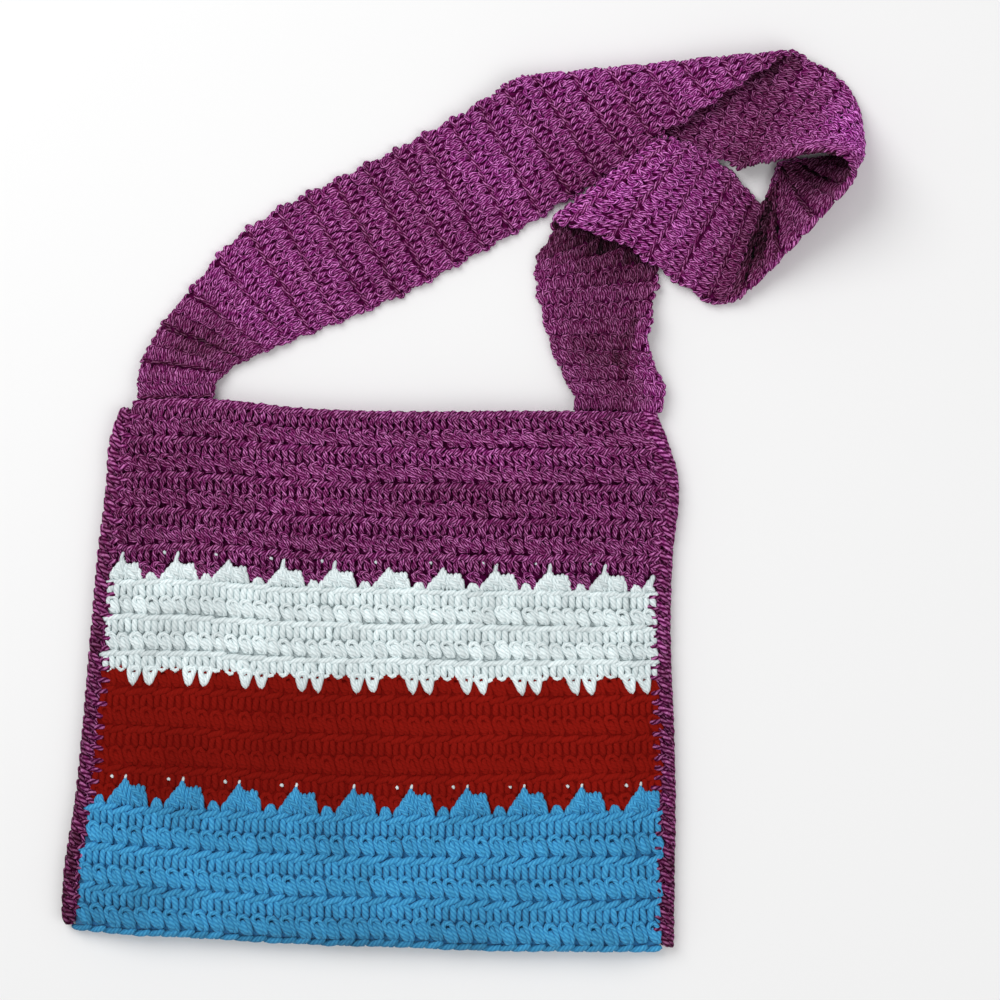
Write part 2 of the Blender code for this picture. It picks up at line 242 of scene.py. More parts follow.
RIDGE_MIDDLE = 1.6  # mm down, about which a ridge slants
RIDGE_THICKNESS = 1.16
SUNK_SHARE = 0.5  # how much of its lift a sunk ridge has left, after it is put 1 mm lower
ROW_WAVE = 0.35  # mm that a row line waves up and down

# How far a strand's knots stray: in stitches, mm down and mm of lift
EVEN = (0.03, 0.2, 0.1)
UNEVEN = (0.03, 0.3, 0.1)
LOOSE = (0.05, 0.3, 0.14)
LOOSER = (0.06, 0.4, 0.18)


# ---------------------------------------------------------------- curves, and where points of the cloth lie
def unit(vectors):
    return vectors / np.maximum(np.linalg.norm(vectors, axis=-1, keepdims=True), 1e-9)


def together(*parts):
    """Arrays and numbers as the coordinates of points, each repeated to the others' shape."""
    return np.stack(np.broadcast_arrays(*parts), axis=-1)


def curve_through(knots, values, at):
    """Smooth curve (cubic Hermite, Catmull-Rom slopes) through rows of values at rising knots."""
    knots = np.asarray(knots, float)
    values = np.asarray(values, float)
    steps = np.diff(knots)
    slopes = np.diff(values, axis=0) / steps.reshape((-1,) + (1,) * (values.ndim - 1))
    tangents = np.concatenate([slopes[:1], (slopes[1:] + slopes[:-1]) / 2, slopes[-1:]])
    at = np.clip(np.asarray(at, float), knots[0], knots[-1])
    span = np.clip(np.searchsorted(knots, at, side="right") - 1, 0, len(steps) - 1)
    width = steps[span]
    t = (at - knots[span]) / width
    shape = at.shape + (1,) * (values.ndim - 1)
    t, width = t.reshape(shape), width.reshape(shape)
    return (
        values[span] * (2 * t**3 - 3 * t**2 + 1)
        + values[span + 1] * (3 * t**2 - 2 * t**3)
        + tangents[span] * width * (t**3 - 2 * t**2 + t)
        + tangents[span + 1] * width * (t**3 - t**2)
    )


def column_of(table, column, at):
    """One column of a table, at places in its first column."""
    rows = sorted(table)
    return curve_through([row[0] for row in rows], [row[column] for row in rows], at)


def side_edge(side, y):
    """x of the bag's outline on its left or right side."""
    return column_of(SIDE_EDGES, 1 if side == "left" else 2, y)


def body_point(across, y):
    """x on the bag's cloth at a share across its width, between the two seams."""
    inset = SEAM_WIDTH + JOINT_GAP
    low = side_edge("left", y) + inset
    high = side_edge("right", y) - inset
    return low + (high - low) * across


BAG_MIDDLE_WIDTH = float(body_point(1.0, 0.0) - body_point(0.0, 0.0))


def layer_rise(across):
    """Height of the front layer's middle over the back layer's middle."""
    near_side = np.minimum(across, 1 - across) * BAG_MIDDLE_WIDTH / FULLNESS_WIDTH
    share = np.clip(near_side, 0.0, 1.0)
    eased = share * share * (3 - 2 * share)
    return CLOTH + EDGE_GAP + (MOUTH_GAP - EDGE_GAP) * eased


def bag_column(across):
    """Mouth height, height where the bottom fold starts, and the fold's radius."""
    across = np.clip(across, 0.0, 1.0)
    radius = layer_rise(across) / 2
    top = column_of(LEVEL_EDGES, 1, body_point(across, MOUTH_LEVEL))
    bottom = column_of(LEVEL_EDGES, 2, body_point(across, BOTTOM_LEVEL))
    return top, bottom + CLOTH / 2 + radius, radius


def cloth_run():
    """The cloth's length down the front, round the bottom and up the back, at the bag's middle."""
    top, turn, radius = bag_column(0.5)
    return (2 * (top - turn) + math.pi * radius) * FRONT_LENGTH / (top - turn + radius + CLOTH / 2)


CLOTH_RUN = float(cloth_run())


def row_drift(across, down):
    """How far the rows wander off their even places, which turns round where the cloth comes up the back."""
    stops = [0.0, TOPS["white"], TOPS["red"], TOPS["blue"], TOPS["bottom"]]
    stops += [CLOTH_RUN - stop for stop in reversed(stops)]
    drift = 0.0
    for line in (1, 2, 3):
        near = np.zeros(len(stops))
        near[line] = 1.0
        near[-1 - line] = -1.0
        drift = drift + column_of(ROW_DRIFT, line, across * STITCHES) * np.interp(down, stops, near)
    return drift


def bag_place(back=False, stitches=STITCHES):
    """Where a point of the bag's cloth lies: x in stitches, down in mm from the mouth, lift in mm."""

    def place(x, down, lift):
        across = x / stitches
        if back:
            across = 1 - across
        top, turn, radius = bag_column(across)
        front = top - turn
        run = (down + row_drift(across, down)) * (front + radius + CLOTH / 2) / FRONT_LENGTH
        if back:
            run = 2 * front + math.pi * radius - run
        angle = np.clip((run - front) / radius, 0.0, math.pi)
        beyond = np.maximum(run - front - math.pi * radius, 0.0)
        level = np.where(angle > 0, turn + beyond, top - run)
        z = CLOTH / 2 + radius + radius * np.cos(angle)
        rise = layer_rise(across + SLOPE_STEP) - layer_rise(across - SLOPE_STEP)
        slope = rise / (2 * SLOPE_STEP * BAG_MIDDLE_WIDTH)
        normal = unit(together(-slope * (1 + np.cos(angle)) / 2, -np.sin(angle), np.cos(angle)))
        points = together(body_point(across, level), level - radius * np.sin(angle), z)
        return points + normal * lift[..., None], normal

    return place


def even_shares(points, count):
    """The same line with its points at equal distances along it."""
    points = np.asarray(points, float)
    lengths = np.linalg.norm(np.diff(points, axis=0), axis=1)
    along = np.concatenate([[0], np.cumsum(lengths)])
    at = np.linspace(0, along[-1], count)
    return together(*(np.interp(at, along, part) for part in points.T))


def bellied_row(outer, inner, belly):
    """A row straight across the band, with a belly in its middle."""
    share = np.linspace(0, 1, BELLY_SAMPLES)[:, None]
    outer, inner, belly = (np.asarray(part, float) for part in (outer, inner, belly))
    line = outer + (inner - outer) * share + belly * 4 * share * (1 - share)
    return even_shares(line, BAND_COLUMNS + 1)


def folded_row(share):
    """A row that crosses the first fold at a share of the fold's length."""
    start, end = np.asarray(FOLD_START), np.asarray(FOLD_END)
    along = (end - start) / np.linalg.norm(end - start)
    outward = np.array([-along[1], along[0]])
    turn = math.radians(FOLD_ROW_TURN)
    top_way = np.array([math.cos(turn), math.sin(turn)])
    slip = float(top_way @ along) / -float(top_way @ outward)
    under_way = top_way - 2 * float(top_way @ along) * along
    upper, inner_z, outer_z = (column_of(FOLD_HEIGHTS, column, share) for column in (1, 2, 3))
    slant = math.hypot(1, slip)
    width = (BAND_WIDTH + FOLD_WIDENING * share**3) / slant
    quarter = FOLD_RADIUS * math.pi / 2
    under, over = share * width, (1 - share) * width
    core = start + (end - start) * share - outward * FOLD_RADIUS
    line = []
    for round_fold in np.linspace(-min(under, quarter), min(over, quarter), CREST_SAMPLES):
        angle = round_fold / FOLD_RADIUS
        flat = core + outward * FOLD_RADIUS * math.cos(angle) + along * slip * round_fold
        line.append((*flat, upper - FOLD_RADIUS + FOLD_RADIUS * math.sin(angle)))
    if under > quarter:
        line.insert(0, (*(line[0][:2] + under_way * slant * (under - quarter)), outer_z))
    if over > quarter:
        line.append((*(line[-1][:2] + top_way * slant * (over - quarter)), inner_z))
    return even_shares(line, BAND_COLUMNS + 1)


def rolled_rows():
    """Rows round the second fold, which lies almost square across the band."""
    inner, outer = np.asarray(ROLL_INNER), np.asarray(ROLL_OUTER)
    along = (outer - inner) / np.linalg.norm(outer - inner)
    inward = np.array([-along[1], along[0]])
    rows = []
    for turn in np.linspace(math.pi / 2, -math.pi / 2, ROLL_STEPS + 1):
        back = BAND / 2 + ROLL_RADIUS * (1 - math.cos(turn))
        z = BAND_FLOOR + ROLL_RADIUS * (1 + math.sin(turn))
        moved = inward * back - along * ROLL_SLIP * ROLL_RADIUS * turn
        rows.append(bellied_row((*(outer + moved), z), (*(inner + moved), z), (0, 0, 0)))
    return rows


def band_rows():
    """All the rows across the strap's middle surface, from its left end to its right end."""
    rows = [bellied_row(*row) for row in LEFT_ROWS]
    rows += [folded_row(share) for share in np.linspace(0, 1, FOLD_ROWS)]
    rows += [bellied_row(*row) for row in RIGHT_ROWS]
    rows += rolled_rows()
    rows += [bellied_row(*row) for row in END_ROWS]
    return np.asarray(rows)


def patch_share(across, along, patch):
    """How strongly a patch of the strap is felt at shares across and mm along, from 0 to 1."""
    far_along = (along - patch.along) / patch.reach_along
    far_across = (across - patch.across) / patch.reach_across
    return np.exp(-(far_along**2) - far_across**2)


def grid_normals(grid):
    return unit(np.cross(np.gradient(grid, axis=1), np.gradient(grid, axis=0)))


def fine_band():
    """The strap's middle surface as a fine grid, its normals, and its length."""
    rows = band_rows()
    moves = np.linalg.norm(np.diff(rows, axis=0), axis=2).mean(axis=1)
    run = np.concatenate([[0], np.cumsum(moves)])
    length = float(run[-1])
    lines = np.linspace(0, length, round(length / FINE_ALONG) + 1)
    shares = np.linspace(0, 1, FINE_ACROSS + 1)
    grid = curve_through(run, rows, lines)
    grid[..., 2] = np.maximum(grid[..., 2], BAND_FLOOR)
    grid = curve_through(np.linspace(0, 1, BAND_COLUMNS + 1), np.swapaxes(grid, 0, 1), shares)
    grid = np.swapaxes(grid, 0, 1)
    across, along = np.meshgrid(shares, lines)
    at, reach, out = EDGE_FILL
    outward = unit(grid[:, -1] - grid[:, -2])[:, None]
    grid = grid + outward * (out * across**3 * np.exp(-(((along - at) / reach) ** 4)))[..., None]
    humps = sum(patch.face * patch.height * patch_share(across, along, patch) for patch in STRAP_HUMPS_AND_PAINTED_LIGHT)
    grid = grid + grid_normals(grid) * humps[..., None]
    grid[..., 2] = np.maximum(grid[..., 2], BAND_FLOOR)
    return grid, grid_normals(grid), length


BAND_GRID, BAND_NORMALS, STRAP_LENGTH = fine_band()
COARSE_BAND = BAND_GRID[::2, ::4]


def grid_at(grid, across, along):
    """Bilinear reading of a strap grid at shares across and along, going on straight past its sides."""
    rows, columns = grid.shape[:2]
    down, over = np.clip(along, 0, 1) * (rows - 1), across * (columns - 1)
    row = np.clip(np.floor(down).astype(int), 0, rows - 2)
    column = np.clip(np.floor(over).astype(int), 0, columns - 2)
    down, over = (down - row)[..., None], (over - column)[..., None]
    near = grid[row, column] * (1 - over) + grid[row, column + 1] * over
    far = grid[row + 1, column] * (1 - over) + grid[row + 1, column + 1] * over
    return near * (1 - down) + far * down


def strap_place(face):
    """Where a point on one face of the strap lies: x in stitches, mm along the strap, lift in mm."""

    def place(x, along, lift):
        across = x / STRAP_STITCHES
        if face < 0:
            across = 1 - across
        share = along / STRAP_LENGTH
        normal = unit(grid_at(BAND_NORMALS, across, share)) * face
        return grid_at(BAND_GRID, across, share) + normal * lift[..., None], normal

    return place


# ---------------------------------------------------------------- strands of yarn
PLY_PITCH = 9.5  # mm along a strand for one turn of its plies
PLY_APART = 0.50  # of the yarn's radius, from its middle to a ply's
PLY_SIZE = 0.60
SWELL = 1.1  # how much of a tapered end's loss a strand gains back at each sample
PATTERN_SHIFT = 40.0  # mm, so that no two strands show the same piece of yarn
YARN_UNEVEN = 0.07  # share that a strand is thicker or thinner
FLOOR_CLEAR = 0.05
YARN_DATA = (("twist", "FLOAT_VECTOR", "vector"), ("tone", "FLOAT", "value"))  # what a yarn's material reads


def strands(paths, place, radius, samples, sides=6, plies=1, jitter=EVEN, tone=0.1, tip=0.6, shade=0.0):
    """Tubes of yarn along paths given as (x, down, lift), several at once.

    With two plies each path is two thinner strands that wind round each other.
    """
    paths = np.asarray(paths, float)
    paths = paths + rng.uniform(-1, 1, paths.shape) * np.asarray(jitter)
    count, knots = paths.shape[:2]
    at = np.linspace(0, knots - 1, samples)
    x, down, lift = curve_through(np.arange(knots), np.swapaxes(paths, 0, 1), at).T
    points, normals = place(x, down, lift)
    tangents = unit(np.gradient(points, axis=1))
    side = unit(np.cross(tangents, normals))
    up = np.cross(side, tangents)
    moves = np.linalg.norm(np.diff(points, axis=1), axis=-1)
    along = np.concatenate([np.zeros((count, 1)), np.cumsum(moves, axis=1)], axis=1)
    along = along + rng.uniform(0, PATTERN_SHIFT, (count, 1))
    from_end = np.minimum(np.arange(samples), np.arange(samples)[::-1])
    size = radius * rng.uniform(1 - YARN_UNEVEN, 1 + YARN_UNEVEN, (count, 1))
    size = size * np.minimum(1, tip + (1 - tip) * SWELL * from_end)
    # shade is added to each strand's tone: mostly painted light and shade, and some plainly darker yarn
    tones = rng.uniform(-tone, tone, count) + shade
    start = rng.uniform(0, 2 * math.pi, (count, 1))
    angles = np.linspace(0, 2 * math.pi, sides, endpoint=False)
    out = side[:, :, None] * np.cos(angles)[:, None] + up[:, :, None] * np.sin(angles)[:, None]
    twist = together(np.cos(angles), np.sin(angles), along[..., None])
    sets = []
    for ply in range(plies):
        middle, ring_size = points, size
        if plies > 1:
            wind = (start + 2 * math.pi * (along / PLY_PITCH + ply / plies))[..., None]
            middle = points + (side * np.cos(wind) + up * np.sin(wind)) * size[..., None] * PLY_APART
            ring_size = size * PLY_SIZE
        rings = middle[:, :, None] + out * ring_size[:, :, None, None]
        ply_tones = tones + rng.uniform(-tone, tone, count) / 2
        sets.append((rings, twist, np.broadcast_to(ply_tones[:, None, None], rings.shape[:3])))
    return sets


def tube_faces(count, samples, sides):
    """Corner lists of the quads and of the end caps of several tubes."""
    tube = np.arange(count)[:, None, None] * samples * sides
    ring = tube + np.arange(samples - 1)[None, :, None] * sides
    corner = np.arange(sides)
    after = (corner + 1) % sides
    quads = together(ring + corner, ring + sides + corner, ring + sides + after, ring + after)
    first = tube[:, :, 0] + corner
    last = first[:, ::-1] + (samples - 1) * sides
    return quads.reshape(-1, 4), np.concatenate([first, last])


def placed(name, data, at=(0.0, 0.0, 0.0)):
    """A new object in the scene, from its mesh, camera or light."""
    obj = bpy.data.objects.new(name, data)
    obj.location = at
    bpy.context.scene.collection.objects.link(obj)
    return obj


def smooth_mesh(name, points, faces, materials):
    """A new mesh in the scene, from points in millimetres."""
    mesh = bpy.data.meshes.new(name)
    mesh.from_pydata(points * MM, [], faces)
    mesh.shade_smooth()
    for material in materials:
        mesh.materials.append(material)
    return placed(name, mesh)


def mesh_of(name, sets, material):
    """One object from sets of tubes, with the twist and tone that its material reads; the tone carries the
    painted light and shade.
    """
    faces, offset = [], 0
    for rings, _, _ in sets:
        for corners in tube_faces(*rings.shape[:3]):
            faces += (corners + offset).tolist()
        offset += rings[..., 0].size
    points = np.concatenate([rings.reshape(-1, 3) for rings, _, _ in sets])
    points[:, 2] = np.maximum(points[:, 2], FLOOR_CLEAR)
    piece = smooth_mesh(name, points, faces, [material])
    for part, (attribute, kind, field) in enumerate(YARN_DATA, 1):
        values = np.concatenate([tubes[part].ravel() for tubes in sets]).astype(np.float32)
        piece.data.attributes.new(attribute, kind, "POINT").data.foreach_set(field, values)
    return piece


# ---------------------------------------------------------------- materials
GROOVE_PITCH = 10.0  # mm of yarn for one turn of its grooves
FIBRE_RUN = 0.22  # how fast the fibres' pattern changes along the yarn, for each mm


class Nodes:
    """Short calls that add and link nodes of one material."""

    def __init__(self, name):
        self.material = bpy.data.materials.new(name)
        self.material.use_nodes = True
        self.tree = self.material.node_tree
        self.shader = self.tree.nodes["Principled BSDF"]

    def fill(self, node, inputs):
        """Sets or links a node's sockets, given by name or number."""
        for socket, value in inputs.items():
            if isinstance(value, bpy.types.NodeSocket):
                self.tree.links.new(value, node.inputs[socket])
            else:
                node.inputs[socket].default_value = value

    def add(self, kind, inputs, **settings):
        """The outputs of a new node."""
        node = self.tree.nodes.new("ShaderNode" + kind)
        for setting, value in settings.items():
            setattr(node, setting, value)
        self.fill(node, inputs)
        return node.outputs

    def math(self, kind, a, b=0.0, clamp=False):
        return self.add("Math", {0: a, 1: b}, operation=kind, use_clamp=clamp)[0]

    def mix(self, share, a, b):
        return self.add("Mix", {"Factor": share, 6: a, 7: b}, data_type="RGBA")[2]

    def attribute(self, name):
        return self.add("Attribute", {}, attribute_name=name)

    def place(self):
        return self.add("TexCoord", {})["Object"]

    def noise(self, vector, scale, detail, roughness):
        inputs = {"Vector": vector, "Scale": scale, "Detail": detail, "Roughness": roughness}
        return self.add("TexNoise", inputs)["Fac"]

    def spread(self, value, low, high, to_low=0.0, to_high=1.0):
        inputs = {"Value": value, "From Min": low, "From Max": high, "To Min": to_low, "To Max": to_high}
        return self.add("MapRange", inputs)["Result"]

    def bump(self, height, strength, distance):
        return self.add("Bump", {"Height": height, "Strength": strength, "Distance": distance})["Normal"]


def srgb(red, green, blue):
    """Linear colour of an sRGB one given in 0 to 255."""
    parts = [part / 255 for part in (red, green, blue)]
    return tuple(p / 12.92 if p <= 0.04045 else ((p + 0.055) / 1.055) ** 2.4 for p in parts) + (1.0,)


def yarn_material(
    name, dark, base, light, groove_painted_shade, fleck, sheen,
    roughness=0.8, lines=4, specular=0.2, painted_highlight_share=0.6, painted_shade_hue_turn=0.0,
):
    """Plied yarn: slanted grooves between its plies coloured darker as painted shade, fine fibres, flecks of
    lighter and darker dye, a painted highlight on the plies' crests, and a hue that turns warmer where the
    tone is darker and cooler where it is lighter, with the painted light and shade.
    """
    nodes = Nodes(name)
    tone = nodes.attribute("tone")["Fac"]
    twist = nodes.add("SeparateXYZ", {0: nodes.attribute("twist")["Vector"]})
    wound = nodes.math("MULTIPLY", twist["Z"], 2 * math.pi / GROOVE_PITCH)
    turned = nodes.math("SUBTRACT", nodes.math("ARCTAN2", twist["Y"], twist["X"]), wound)
    wave = nodes.math("SINE", nodes.math("MULTIPLY", turned, float(lines)))
    ply = nodes.spread(wave, -1.0, 0.35)
    x, y = nodes.math("COSINE", turned), nodes.math("SINE", turned)
    run = nodes.math("MULTIPLY", twist["Z"], FIBRE_RUN)
    fibre = nodes.noise(nodes.add("CombineXYZ", {0: x, 1: y, 2: run})[0], 7.0, 3.0, 0.6)
    patch = nodes.noise(nodes.place(), 420.0, 2.0, 0.6)
    broad = nodes.noise(nodes.place(), 28.0, 2.0, 0.5)
    # painted shade: the grooves between the plies are coloured darker
    grooved = nodes.math("ADD", nodes.math("MULTIPLY", ply, groove_painted_shade), 1.0 - groove_painted_shade)
    level = nodes.math("MULTIPLY", grooved, nodes.spread(fibre, 0.30, 0.70, 1.0 - fleck, 1.0))
    # painted highlight: the plies' crests are coloured towards the highlight colour
    highlight_mask = nodes.math("MULTIPLY", nodes.spread(wave, -0.45, 0.75), nodes.spread(fibre, 0.34, 0.60))
    highlight_mask = nodes.math("MULTIPLY", highlight_mask, nodes.spread(patch, 0.36, 0.60, 0.15, 1.0))
    dyed = nodes.mix(nodes.math("MULTIPLY", highlight_mask, painted_highlight_share, clamp=True), nodes.mix(level, dark, base), light)
    # the tone attribute carries each strand's random tone and the painted light and shade given to it
    dye = {"Color": dyed, "Value": nodes.math("ADD", tone, nodes.spread(broad, 0.3, 0.7, 0.92, 1.08))}
    # painted light and shade also turn the hue, warmer where the tone is darker
    if painted_shade_hue_turn:
        dye["Hue"] = nodes.math("ADD", nodes.math("MULTIPLY", tone, -painted_shade_hue_turn), 0.5)
    height = nodes.math("ADD", nodes.math("MULTIPLY", ply, 0.7), nodes.math("MULTIPLY", fibre, 0.5))
    nodes.fill(nodes.shader, {
        "Base Color": nodes.add("HueSaturation", dye)[0],
        "Normal": nodes.bump(height, 0.75, 0.00035),
        "Roughness": roughness,
        "Specular IOR Level": specular,
        "Sheen Weight": sheen,
        "Sheen Roughness": 0.4,
    })
    return nodes.material


def shade_ground_material(name, dark, base, sheen=0.15, specular=0.15):
    """The cloth behind the strands, seen only in the gaps between stitches, coloured darker than its yarn:
    painted shade in the gaps.
    """
    nodes = Nodes(name)
    coarse = nodes.noise(nodes.place(), 380.0, 3.0, 0.6)
    fine = nodes.noise(nodes.place(), 1500.0, 2.0, 0.6)
    nodes.fill(nodes.shader, {
        "Base Color": nodes.mix(nodes.spread(coarse, 0.35, 0.68), dark, base),
        "Normal": nodes.bump(nodes.math("ADD", coarse, fine), 0.8, 0.0008),
        "Roughness": 0.9,
        "Specular IOR Level": specular,
        "Sheen Weight": sheen,
    })
    return nodes.material


# each yarn: its dark colour, its base colour, and the colour of its painted highlight
YARNS = {
    "purple": yarn_material(
        "purple_yarn", srgb(50, 0, 33), srgb(136, 8, 107), srgb(240, 152, 222),
        groove_painted_shade=0.78, fleck=0.62, sheen=0.0, roughness=0.6, lines=3, specular=0.06, painted_highlight_share=1.0, painted_shade_hue_turn=0.045,
    ),
    "white": yarn_material(
        "white_yarn", srgb(160, 172, 175), srgb(230, 242, 243), srgb(246, 252, 253),
        groove_painted_shade=0.30, fleck=0.18, sheen=0.10,
    ),
    "red": yarn_material(
        "red_yarn", srgb(116, 16, 10), srgb(133, 20, 12), srgb(144, 27, 18),
        groove_painted_shade=0.15, fleck=0.12, sheen=0.0, roughness=0.9, specular=0.04, painted_highlight_share=0.4,
    ),
    "blue": yarn_material(
        "blue_yarn", srgb(30, 100, 154), srgb(64, 156, 205), srgb(90, 180, 222),
        groove_painted_shade=0.45, fleck=0.25, sheen=0.08, specular=0.15,
    ),
}
# painted shade: each ground is coloured darker than its yarn, so the gaps between stitches read as shade
SHADE_GROUNDS = {
    "purple": shade_ground_material("purple_ground_shade", srgb(42, 0, 27), srgb(88, 6, 66), 0.0, 0.05),
    "white": shade_ground_material("white_ground_shade", srgb(176, 188, 191), srgb(222, 233, 234)),
    "red": shade_ground_material("red_ground_shade", srgb(106, 10, 6), srgb(122, 15, 9), 0.0, 0.05),
    "blue": shade_ground_material("blue_ground_shade", srgb(34, 100, 152), srgb(58, 138, 188)),
}


# ---------------------------------------------------------------- rows of stitches
REPEAT = 4  # stitches from one tall spike to the next, and from one pair of loops to the next
TEETH_AT = {"white": 0.98, "blue": 2.5}  # the stitch of the first tall spike
TOOTH_SHARE = {"white": 0.80, "blue": 1.0}  # how tall the spikes are
LOOPS_AT = 2.62
SPIKE_OUTLINE = (
    # stitches from the tall spike, and mm up
    (-1.15, -0.95, -0.75, -0.45, 0.0, 0.30, 0.60, 1.25, 1.45, 1.68, 1.92, 2.10, 2.33, 2.72),
    (0.0, 4.2, 6.6, 10.0, 14.0, 11.8, 11.0, 10.8, 7.0, 0.5, 0.0, 4.0, 4.6, 0.0),
)
LOOP_OUTLINE = (
    # stitches from the pair's left loop, and mm down
    (-0.45, -0.38, 0.10, 0.40, 0.48, 0.55, 0.62, 1.10, 1.40, 1.48),
    (0.0, 3.0, 8.0, 3.0, 0.0, 0.0, 3.0, 8.0, 3.0, 0.0),
)
LOOP_DRIFT = ((0.0, 0.0), (8.0, 0.08), (14.0, 0.30), (24.0, 0.38), (32.0, 0.24), (41.0, 0.20))
LOOP_LEAN = (-0.10, 0.26)  # stitches that a loop leans over LEAN_OVER mm, at the left and the right end
LEAN_OVER = 8.0
UNDER_SPIKE = 2.2  # mm that a covered stitch has to lie inside a spike's outline
UNDER_LOOP = 2.6
# painted shade: the strap's sunk ridges are coloured darker, as shade in their grooves
GROOVE_SHADE = 0.34  # how much darker a sunk ridge is
BACK_LIFT = 0.8  # share of the lift that strands have on the bag's back
ROW_WAVES = ((0.25, 0.5), (0.0, 6.28))  # radians of a row line's wave for each stitch, and where it starts
ROW_SHIFT = 0.12  # most stitches that a whole row is off
STITCH_SHIFT = 0.05  # and one stitch by itself
STITCH_DROP = 0.45  # most mm that it is off down the bag
STITCH_RISE = 0.15  # and in height
LEG_SHIFT = 0.07  # most stitches that a leg's top is off
FILL_DROP = 2.2  # most mm that a filling strand starts higher up

Style = namedtuple("Style", "sides plies jitter fine")


def border_reach(x, first, outline):
    """How far a border reaches past its row line at stitches x, when its pattern first stands at a stitch."""
    starts = outline[0][0]
    return np.interp((x - first - starts) % REPEAT + starts, *outline)


def loops_moved(places):
    """The loops' stitches, a little further right in the middle of the bag."""
    at, moved = zip(*LOOP_DRIFT)
    return places + np.interp(places, at, moved)


def covered(colour, paths):
    """Which paths lie under another colour's spikes or loops."""
    x, down, _ = paths.mean(axis=1).T
    white_x = x * WHITE_STITCHES / STITCHES
    hidden = np.zeros(len(paths), bool)
    if colour == "purple":
        up = border_reach(white_x, TEETH_AT["white"], SPIKE_OUTLINE) * TOOTH_SHARE["white"]
        hidden |= TOPS["white"] - down < up - UNDER_SPIKE
    if colour == "red":
        up = border_reach(x, TEETH_AT["blue"], SPIKE_OUTLINE)
        under = border_reach(2 * white_x - loops_moved(white_x), LOOPS_AT, LOOP_OUTLINE)
        hidden |= (TOPS["blue"] - down < up - UNDER_SPIKE) | (down - TOPS["red"] < under - UNDER_LOOP)
    return hidden


def copies(template, x, down=0.0, lift=0.0):
    """One strand's knots repeated at places in x, moved down and lifted."""
    return np.asarray(template, float)[None] + together(x, down, lift)[:, None]


def laid(template, x, down, lift, top, height, wave, lift_share):
    """A strand repeated along a row of a given top and height, whose line waves a little."""
    points = copies(template, x, down, lift)
    waving = ROW_WAVE * np.sin(points[..., 0] * wave[0] + wave[1])
    points[..., 1] = top + points[..., 1] * height / NOMINAL_ROW + waving
    points[..., 2] *= lift_share
    return points


def row_strands(
    kind, columns, top, height, place, radius, style,
    keep=None, lift=1.0, slant=0.8, legs=1.15, shade=0.0, sunk=False, tone=0.1,
):
    """All the strands of one row of stitches. A fine style has all the samples that a strand can have."""
    count = len(columns)
    wave = [rng.uniform(*bounds) for bounds in ROW_WAVES]
    x = columns + (rng.uniform(-ROW_SHIFT, ROW_SHIFT) + rng.uniform(-STITCH_SHIFT, STITCH_SHIFT, count))
    down = rng.uniform(-STITCH_DROP, STITCH_DROP, count)
    rise = rng.uniform(-STITCH_RISE, STITCH_RISE, count)
    ridge = np.array(RIDGE)
    ridge[:, 1] = RIDGE_MIDDLE + (ridge[:, 1] - RIDGE_MIDDLE) * slant
    if sunk:
        ridge[:, 2] = (ridge[:, 2] - 1) * SUNK_SHARE
    # knots, thickness, samples
    parts = ((ridge, RIDGE_THICKNESS, 6), (LEG_LEFT, legs, 5), (LEG_RIGHT, legs, 5))
    if kind == "back":
        parts = ((DROP, 1.0, 12), (DROP_FILL, legs, 5))
    if kind == "hem":
        parts += ((HEM, 1.0, 5),)
    shade = np.broadcast_to(shade, (count,))
    sets = []
    for template, thick, samples in parts:
        paths = laid(template, x, down, rise, top, height, wave, lift)
        if template is DROP_FILL:
            paths[:, 0, 1] -= rng.uniform(0.0, FILL_DROP, count)
        if template is LEG_LEFT or template is LEG_RIGHT:
            paths[:, :2, 0] += rng.uniform(-LEG_SHIFT, LEG_SHIFT, (count, 1))
        stay = np.ones(count, bool) if keep is None else keep(paths)
        if not stay.any():
            continue
        if not style.fine:
            samples = max(samples * 2 // 3, 4)
        # painted shade in the grooves of sunk ridges
        darker = GROOVE_SHADE if sunk and template is ridge else 0.0
        sets += strands(
            paths[stay], place, radius * thick, samples, style.sides, style.plies, style.jitter, tone,
            shade=shade[stay] - darker,
        )
    return sets


# painted light and shade: soft patches that make the bag's yarn lighter or darker
BAG_PAINTED_LIGHT = (
    # colour, stitch, mm down, reach in stitches, reach down, how much lighter the yarn is painted
    ("purple", 20.0, 45.0, 200.0, 200.0, -0.12),
    ("purple", 0.0, 50.0, 7.0, 60.0, -0.14),
    ("purple", 26.0, 18.0, 8.0, 10.0, 0.18),
    ("white", 0.0, 118.0, 10.0, 30.0, -0.07),
    ("red", 0.0, 175.0, 28.0, 60.0, -0.20),
    ("purple", 26.0, 38.0, 6.0, 9.0, -0.14),
    ("blue", 18.0, 262.0, 12.0, 9.0, -0.24),
    ("blue", 20.0, 256.0, 4.5, 12.0, -0.14),
    ("blue", 1.0, 250.0, 6.0, 16.0, -0.14),
)


def bag_painted_light(colour, stitch, down):
    """Painted light and shade on the bag's yarn in soft patches, darker mostly towards the left side and the
    bottom edge; the broadest patch darkens all the purple.
    """
    tone = np.zeros(len(stitch))
    for name, middle, level, reach, fall, amount in BAG_PAINTED_LIGHT:
        if name == colour:
            tone += amount * np.exp(-(((stitch - middle) / reach) ** 2) - ((down - level) / fall) ** 2)
    return tone


def stitches_of(colour):
    """Stitches across the bag in rows of a colour."""
    return WHITE_STITCHES if colour == "white" else STITCHES


